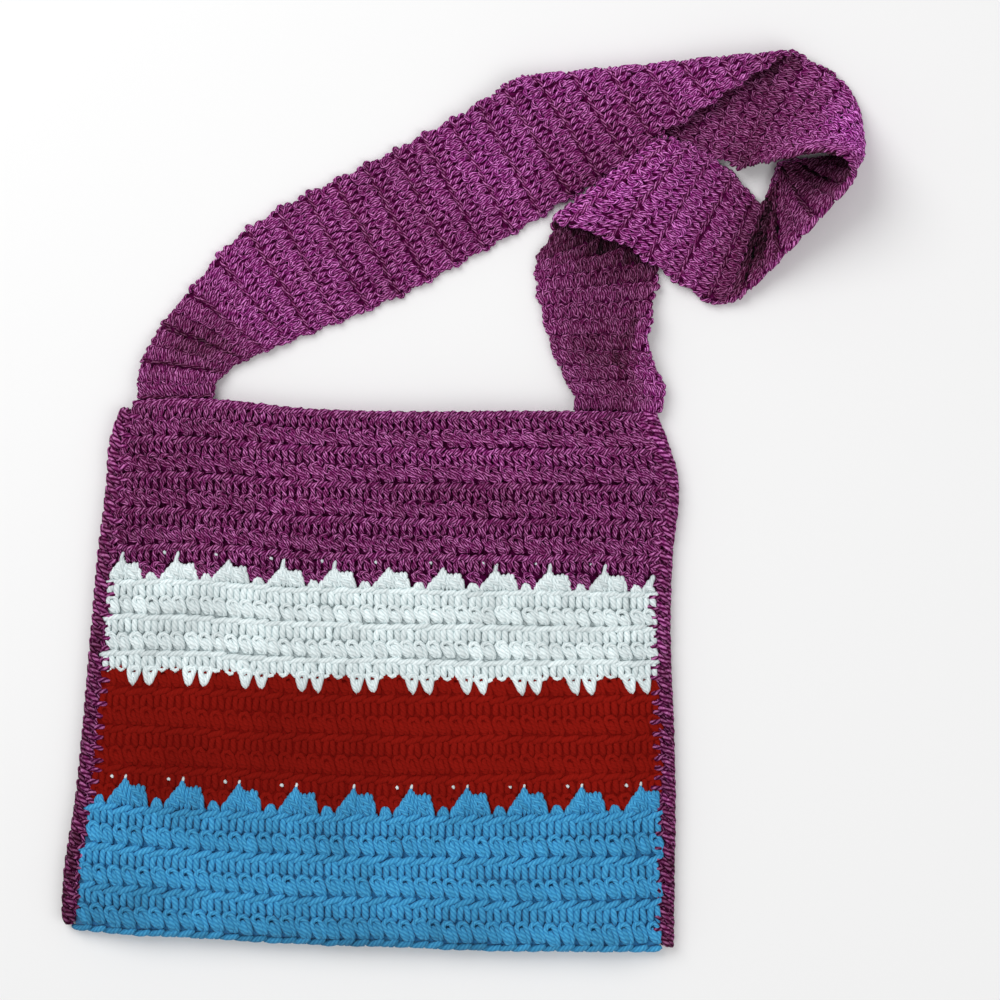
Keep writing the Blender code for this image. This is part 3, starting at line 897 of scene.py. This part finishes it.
def bag_rows(colour, back):
    """Every row of one colour on the front or the back of the bag."""
    place = bag_place(back, stitches_of(colour))
    rows, height = BANDS[colour]
    radius, legs, slant, lift, tone = ROW_LOOKS[colour]
    jitter = LOOSE if colour == "purple" else EVEN
    style = Style(6, 1, jitter, True)
    if back:
        style = Style(5, 1, jitter, False)
        lift *= BACK_LIFT
    elif colour == "purple":
        style = Style(5, 2, jitter, True)
    columns = np.arange(0, stitches_of(colour))
    sets = []
    for row in range(rows):
        kind = "front" if (FIRST_ROWS[colour] + row) % 2 == 0 else "back"
        if colour == "white" and row == rows - 1:
            kind = "hem"
        top = TOPS[colour] + row * height
        sets += row_strands(
            kind, columns, top, height, place, radius, style,
            keep=lambda paths: ~covered(colour, paths),
            lift=lift, slant=slant, legs=legs, shade=bag_painted_light(colour, columns, top), tone=tone,
        )
    if colour == "blue" and not back:
        top = TOPS["bottom"]
        shade = bag_painted_light(colour, columns, top)
        sets += row_strands("front", columns, top, height, place, radius, style, legs=legs, shade=shade)
    return sets


# Strands of the borders: x in stitches, mm from the row line (up for spikes, down for loops), lift in mm
TALL_TOOTH = (
    ((-1.00, -1.0, 0.9), (-0.99, 1.0, 1.7), (-0.90, 2.8, 1.8), (-0.76, 4.6, 1.3)),
    ((-0.74, -1.0, 0.9), (-0.74, 3.0, 1.9), (-0.62, 5.6, 2.0), (-0.48, 7.8, 1.4)),
    ((-0.50, -1.0, 0.9), (-0.48, 4.2, 2.0), (-0.34, 8.0, 2.1), (-0.20, 10.8, 1.5)),
    ((-0.24, -1.0, 0.9), (-0.24, 4.5, 2.1), (-0.12, 9.4, 2.2), (0.02, 13.9, 1.3)),
    ((0.06, -1.0, 0.9), (0.06, 4.5, 2.1), (0.10, 8.6, 2.2), (0.14, 12.0, 1.4)),
    ((0.34, -1.0, 0.7), (0.34, 4.0, 1.6), (0.34, 7.4, 1.8), (0.34, 10.2, 1.3)),
    ((0.64, -1.0, 0.9), (0.62, 4.5, 2.0), (0.60, 8.0, 2.1), (0.60, 10.2, 1.5)),
    ((0.92, -1.0, 0.9), (0.92, 4.5, 2.1), (0.92, 8.2, 2.3), (0.96, 10.8, 1.5)),
    ((1.22, -1.0, 0.9), (1.22, 4.5, 2.0), (1.20, 8.0, 2.2), (1.22, 10.4, 1.4)),
    ((1.52, -1.0, 0.9), (1.48, 1.8, 1.8), (1.40, 4.6, 1.9), (1.32, 7.4, 1.4)),
    ((-0.56, 8.2, 1.4), (-0.30, 6.6, 2.7), (0.02, 4.4, 2.8), (0.28, 2.2, 1.6)),
    ((-0.84, 4.2, 1.4), (-0.60, 3.0, 2.6), (-0.34, 1.4, 2.5), (-0.16, 0.0, 1.4)),
    ((0.46, 9.0, 1.5), (0.76, 7.4, 2.8), (1.06, 5.2, 2.8), (1.32, 3.0, 1.6)),
    ((0.50, 5.6, 1.4), (0.72, 4.0, 2.6), (0.98, 1.9, 2.6), (1.16, 0.2, 1.4)),
)
SMALL_TOOTH = (
    ((2.02, -1.0, 0.9), (2.08, 1.4, 1.8), (2.18, 3.0, 1.9), (2.27, 4.4, 1.4)),
    ((2.66, -1.0, 0.9), (2.56, 1.0, 1.8), (2.44, 2.6, 1.9), (2.36, 4.2, 1.4)),
    ((2.34, -1.0, 0.8), (2.33, 1.4, 1.9), (2.31, 3.0, 1.8)),
)
TIPS = {
    # knots, yarn radius, share of the spikes that show it
    "white": (((-0.14, 8.4, 2.0), (-0.05, 11.4, 2.0), (0.02, 14.4, 1.3)), 1.0, 0.6),
    "blue": (((-0.03, 12.8, 1.7), (0.00, 14.0, 1.8), (0.02, 15.0, 1.1)), 0.7, 1.0),
    "dot": (((-1.08, 13.3, 0.7), (-1.05, 13.9, 1.6), (-0.98, 13.6, 1.7), (-0.96, 13.0, 0.8)), 0.8, 0.75),
}
LONG_LOOP = (
    ((-0.32, -2.0, 0.6), (-0.33, 1.0, 1.8), (-0.19, 4.4, 2.0), (0.00, 8.3, 1.0)),
    ((0.32, -2.0, 0.6), (0.33, 1.0, 1.8), (0.19, 4.4, 2.0), (0.03, 8.5, 1.0)),
    ((-0.34, 1.6, 0.9), (-0.13, -0.3, 1.9), (0.15, -0.4, 1.9), (0.35, 1.4, 0.9)),
    ((-0.04, 2.0, 0.5), (0.00, 3.9, 1.5), (0.03, 6.6, 1.2)),
)
SPIKE_RADIUS = 1.3
SPIKE_STRAY = 0.09  # most stitches that a spike is off
LOOP_RADIUS = 1.36
LOOP_PAIR = (-0.07, 1.07)  # the two loops of a pair, in stitches
SIDE_CLEAR = 0.1  # stitches that a border's strands keep from the bag's sides


def repeated(templates, places, colour, back, radius, samples, hang_from=None, **look):
    """A border's strands at each repeat, over the colour's first row line or hanging from another's."""
    stitches = stitches_of(colour)
    sets = []
    for template in templates:
        points = copies(template, places)
        x, up = points[..., 0], points[..., 1]
        if hang_from:
            x += np.interp(places, (0, stitches), LOOP_LEAN)[:, None] * np.maximum(up, 0) / LEAN_OVER
            up += TOPS[hang_from]
        else:
            np.subtract(TOPS[colour], up, out=up)
        inside = (x.min(axis=1) > SIDE_CLEAR) & (x.max(axis=1) < stitches - SIDE_CLEAR)
        if inside.any():
            sets += strands(points[inside], bag_place(back, stitches), radius, samples, **look)
    return sets


def spikes(colour, back):
    """The spikes of one colour, and the stitches where each tall one stands."""
    places = np.arange(TEETH_AT[colour] - REPEAT, stitches_of(colour) + REPEAT, REPEAT)
    places = places + rng.uniform(-SPIKE_STRAY, SPIKE_STRAY, len(places))
    templates = [np.array(template) * (1, TOOTH_SHARE[colour], 1) for template in TALL_TOOTH + SMALL_TOOTH]
    return repeated(templates, places, colour, back, SPIKE_RADIUS, samples=7, jitter=UNEVEN, tip=0.45), places


def white_tips(colour, places):
    """White yarn at the points of some of the front's spikes."""
    sets = []
    for template, radius, share in (TIPS[colour], TIPS["dot"]):
        some = places[rng.random(len(places)) < share]
        sets += repeated((template,), some, colour, False, radius, samples=6, tip=0.3, shade=-0.12)
    return sets


def drop_loops(back):
    """The pairs of long white loops that hang over the red."""
    pairs = np.arange(LOOPS_AT - REPEAT, WHITE_STITCHES + REPEAT, REPEAT)
    places = loops_moved(np.concatenate([pairs + apart for apart in LOOP_PAIR]))
    return repeated(
        LONG_LOOP, places, "white", back, LOOP_RADIUS, samples=7, hang_from="red", jitter=UNEVEN, tip=0.36,
    )


def whole_bag():
    """A piece for each colour on the front and on the back, and one for the white tips."""
    pieces, tips = [], []
    for back in (False, True):
        for colour in BANDS:
            sets = bag_rows(colour, back)
            if colour in TEETH_AT:
                toothed, places = spikes(colour, back)
                sets += toothed
                if not back:
                    tips += white_tips(colour, places)
            if colour == "white":
                sets += drop_loops(back)
            where = "back" if back else "front"
            pieces.append(mesh_of(f"{where}_{colour}_stitches", sets, YARNS[colour]))
    pieces.append(mesh_of("spike_tips", tips, YARNS["white"]))
    return pieces


# ---------------------------------------------------------------- the ground behind the stitches, coloured as painted shade in the gaps
GROUND = 1.3  # mm thick
GROUND_COLUMNS = 41
GROUND_TURNS = 10  # lines round the bottom fold
MOUTH_LINE = 0.8  # mm down, where the ground starts
WHITE_HEM_UP = 1.2  # mm that the white ground ends over its last row line


def grid_faces(rows, columns):
    """The corners of the squares between a grid's points."""
    corner = np.arange(rows * columns).reshape(rows, columns)
    faces = together(corner[:-1, :-1], corner[:-1, 1:], corner[1:, 1:], corner[1:, :-1])
    return faces.reshape(-1, 4).tolist()


def cloth_mesh(name, grid, materials, face_material=0):
    """A closed cloth from a grid of points on its middle."""
    faces = grid_faces(*grid.shape[:2])
    cloth = smooth_mesh(name, grid.reshape(-1, 3), faces, materials)
    cloth.data.polygons.foreach_set("material_index", np.full(len(faces), face_material, np.int32))
    made = cloth.modifiers.new("Cloth thickness", "SOLIDIFY")
    made.thickness = GROUND * MM
    made.offset = 0.0
    bpy.context.view_layer.objects.active = cloth
    bpy.ops.object.modifier_apply(modifier=made.name)
    return cloth


def ground_depths():
    """How deep the ground lies under the strands along the cloth, less under the flat red rows."""
    white_end, red_end = TOPS["red"], TOPS["blue"]
    runs = [0.0, white_end - 1, white_end + 2, red_end - 2, red_end + 1]
    depths = [-0.95, -0.8, 0.35, 0.35, -0.8]
    runs += [CLOTH_RUN - run for run in reversed(runs)]
    return runs, depths + depths[::-1]


def bag_cloth():
    """The ground of the bag: one cloth from the front's mouth round the bottom to the back's mouth."""
    stops, colours = [MOUTH_LINE], []
    for colour, (rows, height) in BANDS.items():
        stops += list(TOPS[colour] + height * np.arange(1, rows + 1))
        colours += [colour] * rows
        if colour == "white":
            stops[-1] -= WHITE_HEM_UP
    around = list(np.linspace(stops[-1], CLOTH_RUN - stops[-1], GROUND_TURNS)[1:-1])
    downs = stops + around + [CLOTH_RUN - stop for stop in reversed(stops)]
    colours = colours + ["blue"] * (len(around) + 1) + colours[::-1]
    x, down = np.meshgrid(np.linspace(0.0, 1.0, GROUND_COLUMNS) * STITCHES, downs)
    grid, _ = bag_place()(x, down, np.interp(down, *ground_depths()))
    names = list(SHADE_GROUNDS)
    faces = np.repeat([names.index(colour) for colour in colours], GROUND_COLUMNS - 1)
    return cloth_mesh("bag_cloth", grid, list(SHADE_GROUNDS.values()), faces)


def strap_cloth():
    """The ground of the strap."""
    return cloth_mesh("strap_cloth", COARSE_BAND, [SHADE_GROUNDS["purple"]])


# ---------------------------------------------------------------- the strap's stitches
# painted light and shade of the strap: STRAP_LIGHT lifts all its yarn, FOLD_SHADE darkens it where the strap
# hides the sky, HOLLOW_SHADE and CREST_LIGHT darken hollows and lighten humps, down to DARKEST
STRAP_LIGHT = 0.01  # how much lighter all its yarn is
FOLD_SHADE = 0.8  # how much darker it is where the strap hides all the sky
FOLD_REACH = 55.0  # mm within which the strap can hide it
SKY_RAYS = 36
RAY_LIFT = 2.5
BEND_REACH = 13.0  # mm along over which a hollow or a hump is felt
HOLLOW_SHADE = 1.1
CREST_LIGHT = 0.35
DARKEST = -0.88
UNDERSIDE = -0.15  # a face that looks further down than this has the plain stitches
STRAP_YARN = 1.46
EDGE_YARN = 1.4
EDGE_OUT = 0.02  # stitches that an edge's yarn stands outside the cloth
EDGE_TUCK = 0.14  # stitches that it reaches in over both faces
EDGE_BULGE = 0.17  # stitches, outwards and inwards in turn
EDGE_WRAP = (
    # share of the tuck outwards, share of the bulge, mm along, lift in mm
    (-1.0, 0.3, 0.3, 1.1),
    (0.3, 1.0, 1.2, 0.75),
    (0.5, 1.0, 2.2, 0.0),
    (0.3, 1.0, 3.2, -0.75),
    (-1.0, 0.3, 4.0, -1.1),
)


def covered_share(points, normals, tree):
    """The share of the sky over each point that the strap itself hides, near by."""
    turns = np.arange(SKY_RAYS)
    rise = (turns + 0.5) / SKY_RAYS
    flat = np.sqrt(1 - rise**2)
    spin = turns * math.pi * (3 - math.sqrt(5))
    shares = []
    for point, normal in zip(points, unit(normals)):
        helper = np.array((1.0, 0.0, 0.0)) if abs(normal[0]) < 0.8 else np.array((0.0, 1.0, 0.0))
        side = unit(np.cross(normal, helper))
        other = np.cross(normal, side)
        start = point + normal * RAY_LIFT
        hits = 0
        for up, out, angle in zip(rise, flat, spin):
            way = normal * up + (side * math.cos(angle) + other * math.sin(angle)) * out
            hits += tree.ray_cast(start.tolist(), way.tolist(), FOLD_REACH)[0] is not None
        shares.append(hits / SKY_RAYS)
    return np.array(shares)


def bend_shade(place, x, along, normals):
    """Painted shade where the strap is hollow along its length, and a little painted light where it is
    humped.
    """
    flat = np.zeros(len(x))
    moved = (np.clip(along + move, 0, STRAP_LENGTH) for move in (-BEND_REACH, 0, BEND_REACH))
    before, here, after = (place(x, at, flat)[0] for at in moved)
    bend = (((before + after) / 2 - here) * unit(normals)).sum(axis=-1) / BEND_REACH
    inside = (along > BEND_REACH) & (along < STRAP_LENGTH - BEND_REACH)
    return inside * (-HOLLOW_SHADE * np.clip(bend, 0, 0.45) + CREST_LIGHT * np.clip(-bend, 0, 0.35))


def strap_painted_light(face, x, along):
    """Painted light on the humps and painted shade in the hollows of one face of the strap, at x in stitches
    from its outer edge.
    """
    tone = np.full(len(along), STRAP_LIGHT)
    for patch in STRAP_HUMPS_AND_PAINTED_LIGHT:
        if patch.face == face:
            tone += patch.lighter * patch_share(x / STRAP_STITCHES, along, patch)
    return tone


def strap_rows(rows, tree):
    """Rows of stitches on both faces of the strap, finer where a face looks up."""
    height = STRAP_LENGTH / rows
    columns = np.arange(STRAP_STITCHES)
    x = columns + 0.5
    fine_sets, plain_sets = [], []
    for face in (1, -1):
        place = strap_place(face)
        for row in range(rows):
            kind = "front" if row % 2 == 0 and face > 0 else "back"
            along = np.full(len(columns), (row + 0.5) * height)
            points, normals = place(x, along, np.zeros(len(columns)))
            upward = normals[:, 2] > UNDERSIDE
            from_outer = x if face > 0 else STRAP_STITCHES - x
            # painted light and shade: the patches, darker where the strap hides the sky, and the bends
            shade = strap_painted_light(face, from_outer, along) - FOLD_SHADE * covered_share(points, normals, tree)
            shade = np.maximum(shade + bend_shade(place, x, along, normals), DARKEST)
            for seen, plies, sets in ((upward, 2, fine_sets), (~upward, 1, plain_sets)):
                if seen.any():
                    sets += row_strands(
                        kind, columns[seen], row * height, height, place, STRAP_YARN,
                        Style(5, plies, LOOSER, plies > 1),
                        lift=0.85, legs=1.05, shade=shade[seen], sunk=True,
                    )
    return fine_sets, plain_sets


def strap_edges(rows, tree):
    """Yarn that wraps both side edges of the strap, twice in each row."""
    height = STRAP_LENGTH / rows
    along = np.arange(0, STRAP_LENGTH, height / 2)
    flat = np.zeros(len(along))
    sets = []
    for x, outward in ((-EDGE_OUT, -1), (STRAP_STITCHES + EDGE_OUT, 1)):
        hidden, tones, ups = [], [], []
        for face in (1, -1):
            from_face = x if face > 0 else STRAP_STITCHES - x
            points, normals = strap_place(face)(flat + from_face, along, flat)
            hidden.append(covered_share(points, normals, tree))
            tones.append(strap_painted_light(face, x, along))
            ups.append(normals[:, 2])
        # painted light and shade on the edge yarn, as on the strap's faces
        shade = np.where(ups[0] > ups[1], *tones) - FOLD_SHADE * np.minimum(*hidden)
        bulge = EDGE_BULGE * np.cos(along / height * math.pi)
        wrap = [
            together(x + outward * (EDGE_TUCK * tuck + bulge * share), along + move, lift)
            for tuck, share, move, lift in EDGE_WRAP
        ]
        shade = np.maximum(shade, DARKEST)
        sets += strands(
            np.stack(wrap, axis=1), strap_place(1), EDGE_YARN, samples=6,
            sides=5, plies=2, jitter=UNEVEN, shade=shade,
        )
    return sets


def strap_stitches():
    """The strap's pieces of yarn."""
    rows = int(STRAP_LENGTH // STRAP_ROW)
    tree = BVHTree.FromPolygons(COARSE_BAND.reshape(-1, 3).tolist(), grid_faces(*COARSE_BAND.shape[:2]))
    fine_sets, plain_sets = strap_rows(rows, tree)
    half_way = len(fine_sets) // 2
    pieces = {
        "strap_stitches_a": fine_sets[:half_way],
        "strap_stitches_b": fine_sets[half_way:],
        "strap_under_stitches": plain_sets,
        "strap_edges": strap_edges(rows, tree),
    }
    return [mesh_of(name, sets, YARNS["purple"]) for name, sets in pieces.items()]


# ---------------------------------------------------------------- the side seams and the mouth
SEAM_CORE = 0.70  # the size of a seam's core as a share of the seam's
CORE_RINGS = 66
CORE_SIDES = 12
# painted shade: the core is coloured dark, as the shade between the chain's strands
CORE_SHADE = -0.45
LINK = 6.4  # mm of a seam for each link of its chain
# painted light and shade: the right seam is coloured lighter than the left, and both seams darker further
# down
SEAM_PAINTED_LIGHT = {"left": 0.10, "right": 0.26}
SEAM_SHADE_FADE = 0.0020  # darker for each mm down
SEAM_CHAIN = (
    # knots (degrees round the seam, mm down, lift in mm), yarn radius, how much lighter
    (((-50, 0.4, -0.3), (-36, 1.2, 0.9), (-10, 3.0, 1.5), (14, 4.8, 1.1), (26, 6.2, 0.0)), 1.6, -0.22),
    (((16, 1.6, -0.3), (34, 2.6, 0.5), (54, 4.0, 0.9), (72, 5.4, 0.7), (82, 6.6, 0.0)), 1.4, -0.28),
    (((80, -1.0, 0.2), (96, 0.8, 0.8), (116, 2.8, 0.9), (136, 4.8, 0.8), (152, 6.0, 0.2)), 1.45, -0.2),
    (((150, -1.0, 0.2), (166, 1.2, 0.8), (186, 3.2, 0.9), (206, 5.0, 0.8), (222, 6.2, 0.2)), 1.4, -0.2),
)
SEAM_STRAY = (4.0, 0.5, 0.12)  # as for other knots, but the first is in degrees
SEAM_TOPSIDE = 60  # degrees: the chain's strands that start before it lean the other way on the left
LEG_STEPS = (
    # stitches in from the edge, share of the leg's reach, share of its tilt, lift in mm
    (-0.45, 0.0, -0.8, 0.5),
    (-0.05, 0.0, -0.4, 1.35),
    (0.0, 0.6, 0.2, 1.75),
    (0.0, 1.0, 0.7, 0.9),
)
LEGS_DOWN = (2.0, 257.0, 5.4)  # mm from the first leg to the last, and from one to the next
LEG_REACH = (0.30, 0.80)  # stitches
SHORT_LEGS = 0.6  # share of that reach on the blue
LEG_STRAY = 1.1  # mm
LEG_TILT = 1.3
LEG_LOOSE = (0.04, 0.3, 0.12)
LEG_SHADE = -0.02
ROPE_DOWN = (0.0, 262.0, 4.0)
ROPE_LIFT = 0.1
ROPE_LOOSE = (0.02, 0.3, 0.1)
# painted shade: the rope along each layer's edge is coloured dark, as the shade in the crevice there
ROPE_SHADE = -0.35
MOUTH_LINK = ((-0.30, 0.5, -0.3), (0.1, 0.2, 0.0), (0.6, -0.2, 0.1), (1.1, -0.5, -0.1), (1.35, -0.3, -0.5))
MOUTH_LOOSE = (0.04, 0.2, 0.1)
MOUTH_YARNS = ((0.5, 0.2), (0.6, -1.4))  # mm down, lift in mm


def seam_place(side):
    """x is the turn round the seam in degrees from its top towards the outside, down in mm, lift in mm."""
    outward = 1 if side == "right" else -1

    def place(x, down, lift):
        y = SEAM_TOP - down
        centre = side_edge(side, y) - outward * SEAM_WIDTH / 2
        angle = np.radians(x)
        wide = outward * np.sin(angle)
        half_wide = SEAM_WIDTH / 2 * SEAM_CORE + lift
        half_high = SEAM_HEIGHT / 2 * SEAM_CORE + lift
        points = together(centre + half_wide * wide, y, SEAM_HEIGHT / 2 + half_high * np.cos(angle))
        return points, together(wide, 0.0, np.cos(angle))

    return place


def seam_braid(side):
    """A chain of slanting strands round the seam, on a core coloured dark as painted shade between them."""
    length = SEAM_TOP - SEAM_BOTTOM[side]
    place = seam_place(side)
    rings = np.arange(0.0, length + 0.1, length / CORE_RINGS)
    x, down = np.meshgrid(np.linspace(0, 360, CORE_SIDES, endpoint=False), rings)
    core, _ = place(x, down, np.zeros(x.shape))
    twist = together(np.cos(np.radians(x)), np.sin(np.radians(x)), down)
    starts = np.arange(0.5, length - 5.0, LINK)
    sets = []
    for template, radius, lighter in SEAM_CHAIN:
        points = copies(template, np.zeros(len(starts)), starts)
        first, last = template[0][0], template[-1][0]
        if side == "left" and first < SEAM_TOPSIDE:
            points[..., 0] = first + last - points[..., 0]
        # painted light and shade on the chain: lighter on the right seam, darker further down
        shade = lighter + SEAM_PAINTED_LIGHT[side] - SEAM_SHADE_FADE * starts
        sets += strands(
            points, place, radius, samples=9, sides=8, jitter=SEAM_STRAY, tone=0.16, tip=0.3, shade=shade,
        )
    sets.append((core[None], twist[None], np.full((1, *x.shape), CORE_SHADE)))
    return mesh_of(f"seam_{side}_braid", sets, YARNS["purple"])


def seam_legs():
    """Loops of seam yarn that reach over the edge of each layer, one for about each row, and a rope coloured
    dark as painted shade along the edge.
    """
    sets = []
    for back in (False, True):
        place = bag_place(back)
        for edge, into in ((STITCHES, -1), (0.0, 1)):
            downs = np.arange(*LEGS_DOWN)
            downs = downs + rng.uniform(-LEG_STRAY, LEG_STRAY, len(downs))
            tilt = rng.uniform(-LEG_TILT, LEG_TILT, len(downs))
            reach = rng.uniform(*LEG_REACH, len(downs)) * np.where(downs > TOPS["blue"], SHORT_LEGS, 1.0)
            legs = [
                together(edge + into * (out + far * reach), downs + lean * tilt, up)
                for out, far, lean, up in LEG_STEPS
            ]
            # painted shade: the legs darken further down, as the seams do
            shade = LEG_SHADE - SEAM_SHADE_FADE * downs
            sets += strands(
                np.stack(legs, axis=1), place, radius=1.3, samples=8, jitter=LEG_LOOSE, tip=0.75, shade=shade,
            )
            rope = together(edge - into * EDGE_OUT, np.arange(*ROPE_DOWN), ROPE_LIFT)
            sets += strands(
                rope[None], place, radius=1.7, samples=130, plies=2, jitter=ROPE_LOOSE, shade=ROPE_SHADE,
            )
    return mesh_of("seam_legs", sets, YARNS["purple"])


def mouth_edge():
    """The chain along the mouth of both layers."""
    sets = []
    for back in (False, True):
        for down, lift in MOUTH_YARNS:
            links = copies(MOUTH_LINK, np.arange(STITCHES), down, lift)
            sets += strands(
                links, bag_place(back), radius=1.4, samples=6, sides=5, plies=2, jitter=MOUTH_LOOSE,
            )
    return mesh_of("mouth_chain", sets, YARNS["purple"])


# ---------------------------------------------------------------- camera and light in metres, and the floor
SENSOR = 36.0
CAMERA_AT = (0.060, 0.0885, 1.5)
VIEW_WIDTH = 0.5  # what the picture shows at VIEW_LEVEL over the floor
VIEW_LEVEL = 0.008
LIGHTS = {
    # place, size, power
    "key": ((-0.70, 0.90, 1.30), 1.3, 16.5),
    "fill": ((0.9, -0.5, 1.3), 1.2, 6.0),
}
LIT_SPOT = (0.03, 0.05, 0.0)
WORLD_LIGHT = 0.55
FLOOR_HALF = 9000.0  # mm


def camera():
    """The photograph's view, from straight above."""
    data = bpy.data.cameras.new("camera")
    data.sensor_width = SENSOR
    data.lens = SENSOR * (CAMERA_AT[2] - VIEW_LEVEL) / VIEW_WIDTH
    bpy.context.scene.camera = placed("camera", data, CAMERA_AT)


def lights():
    """Two soft lights and an even sky."""
    for name, (place, size, power) in LIGHTS.items():
        data = bpy.data.lights.new(name, "AREA")
        data.shape = "DISK"
        data.size = size
        data.energy = power
        way = Vector(LIT_SPOT) - Vector(place)
        placed(name, data, place).rotation_euler = way.to_track_quat("-Z", "Y").to_euler()
    world = bpy.data.worlds.new("studio")
    world.use_nodes = True
    background = world.node_tree.nodes["Background"]
    background.inputs["Color"].default_value = (1.0, 1.0, 1.0, 1.0)
    background.inputs["Strength"].default_value = WORLD_LIGHT
    bpy.context.scene.world = world


def floor():
    """A plain floor, big enough to have no edge in any view."""
    nodes = Nodes("floor")
    look = {"Base Color": (0.86, 0.86, 0.86, 1.0), "Roughness": 0.9, "Specular IOR Level": 0.1}
    nodes.fill(nodes.shader, look)
    corners = np.array([(-1, -1, 0), (1, -1, 0), (1, 1, 0), (-1, 1, 0)]) * FLOOR_HALF
    smooth_mesh("floor", corners, [(0, 1, 2, 3)], [nodes.material])


camera()
lights()
floor()
bpy.context.scene.view_settings.view_transform = "Standard"

body_cloth = bag_cloth()
body_stitches = whole_bag()
mouth = mouth_edge()
seam_left = seam_braid("left")
seam_right = seam_braid("right")
legs = seam_legs()
band_cloth = strap_cloth()
band_stitches = strap_stitches()

for piece in [body_cloth, *body_stitches, mouth]:
    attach(piece, "root")
for piece in (seam_left, seam_right, legs):
    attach(piece, "root")
for piece in [band_cloth, *band_stitches]:
    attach(piece, "root")
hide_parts("bag_body")
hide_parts("seam_left")
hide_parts("seam_right")
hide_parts("strap")
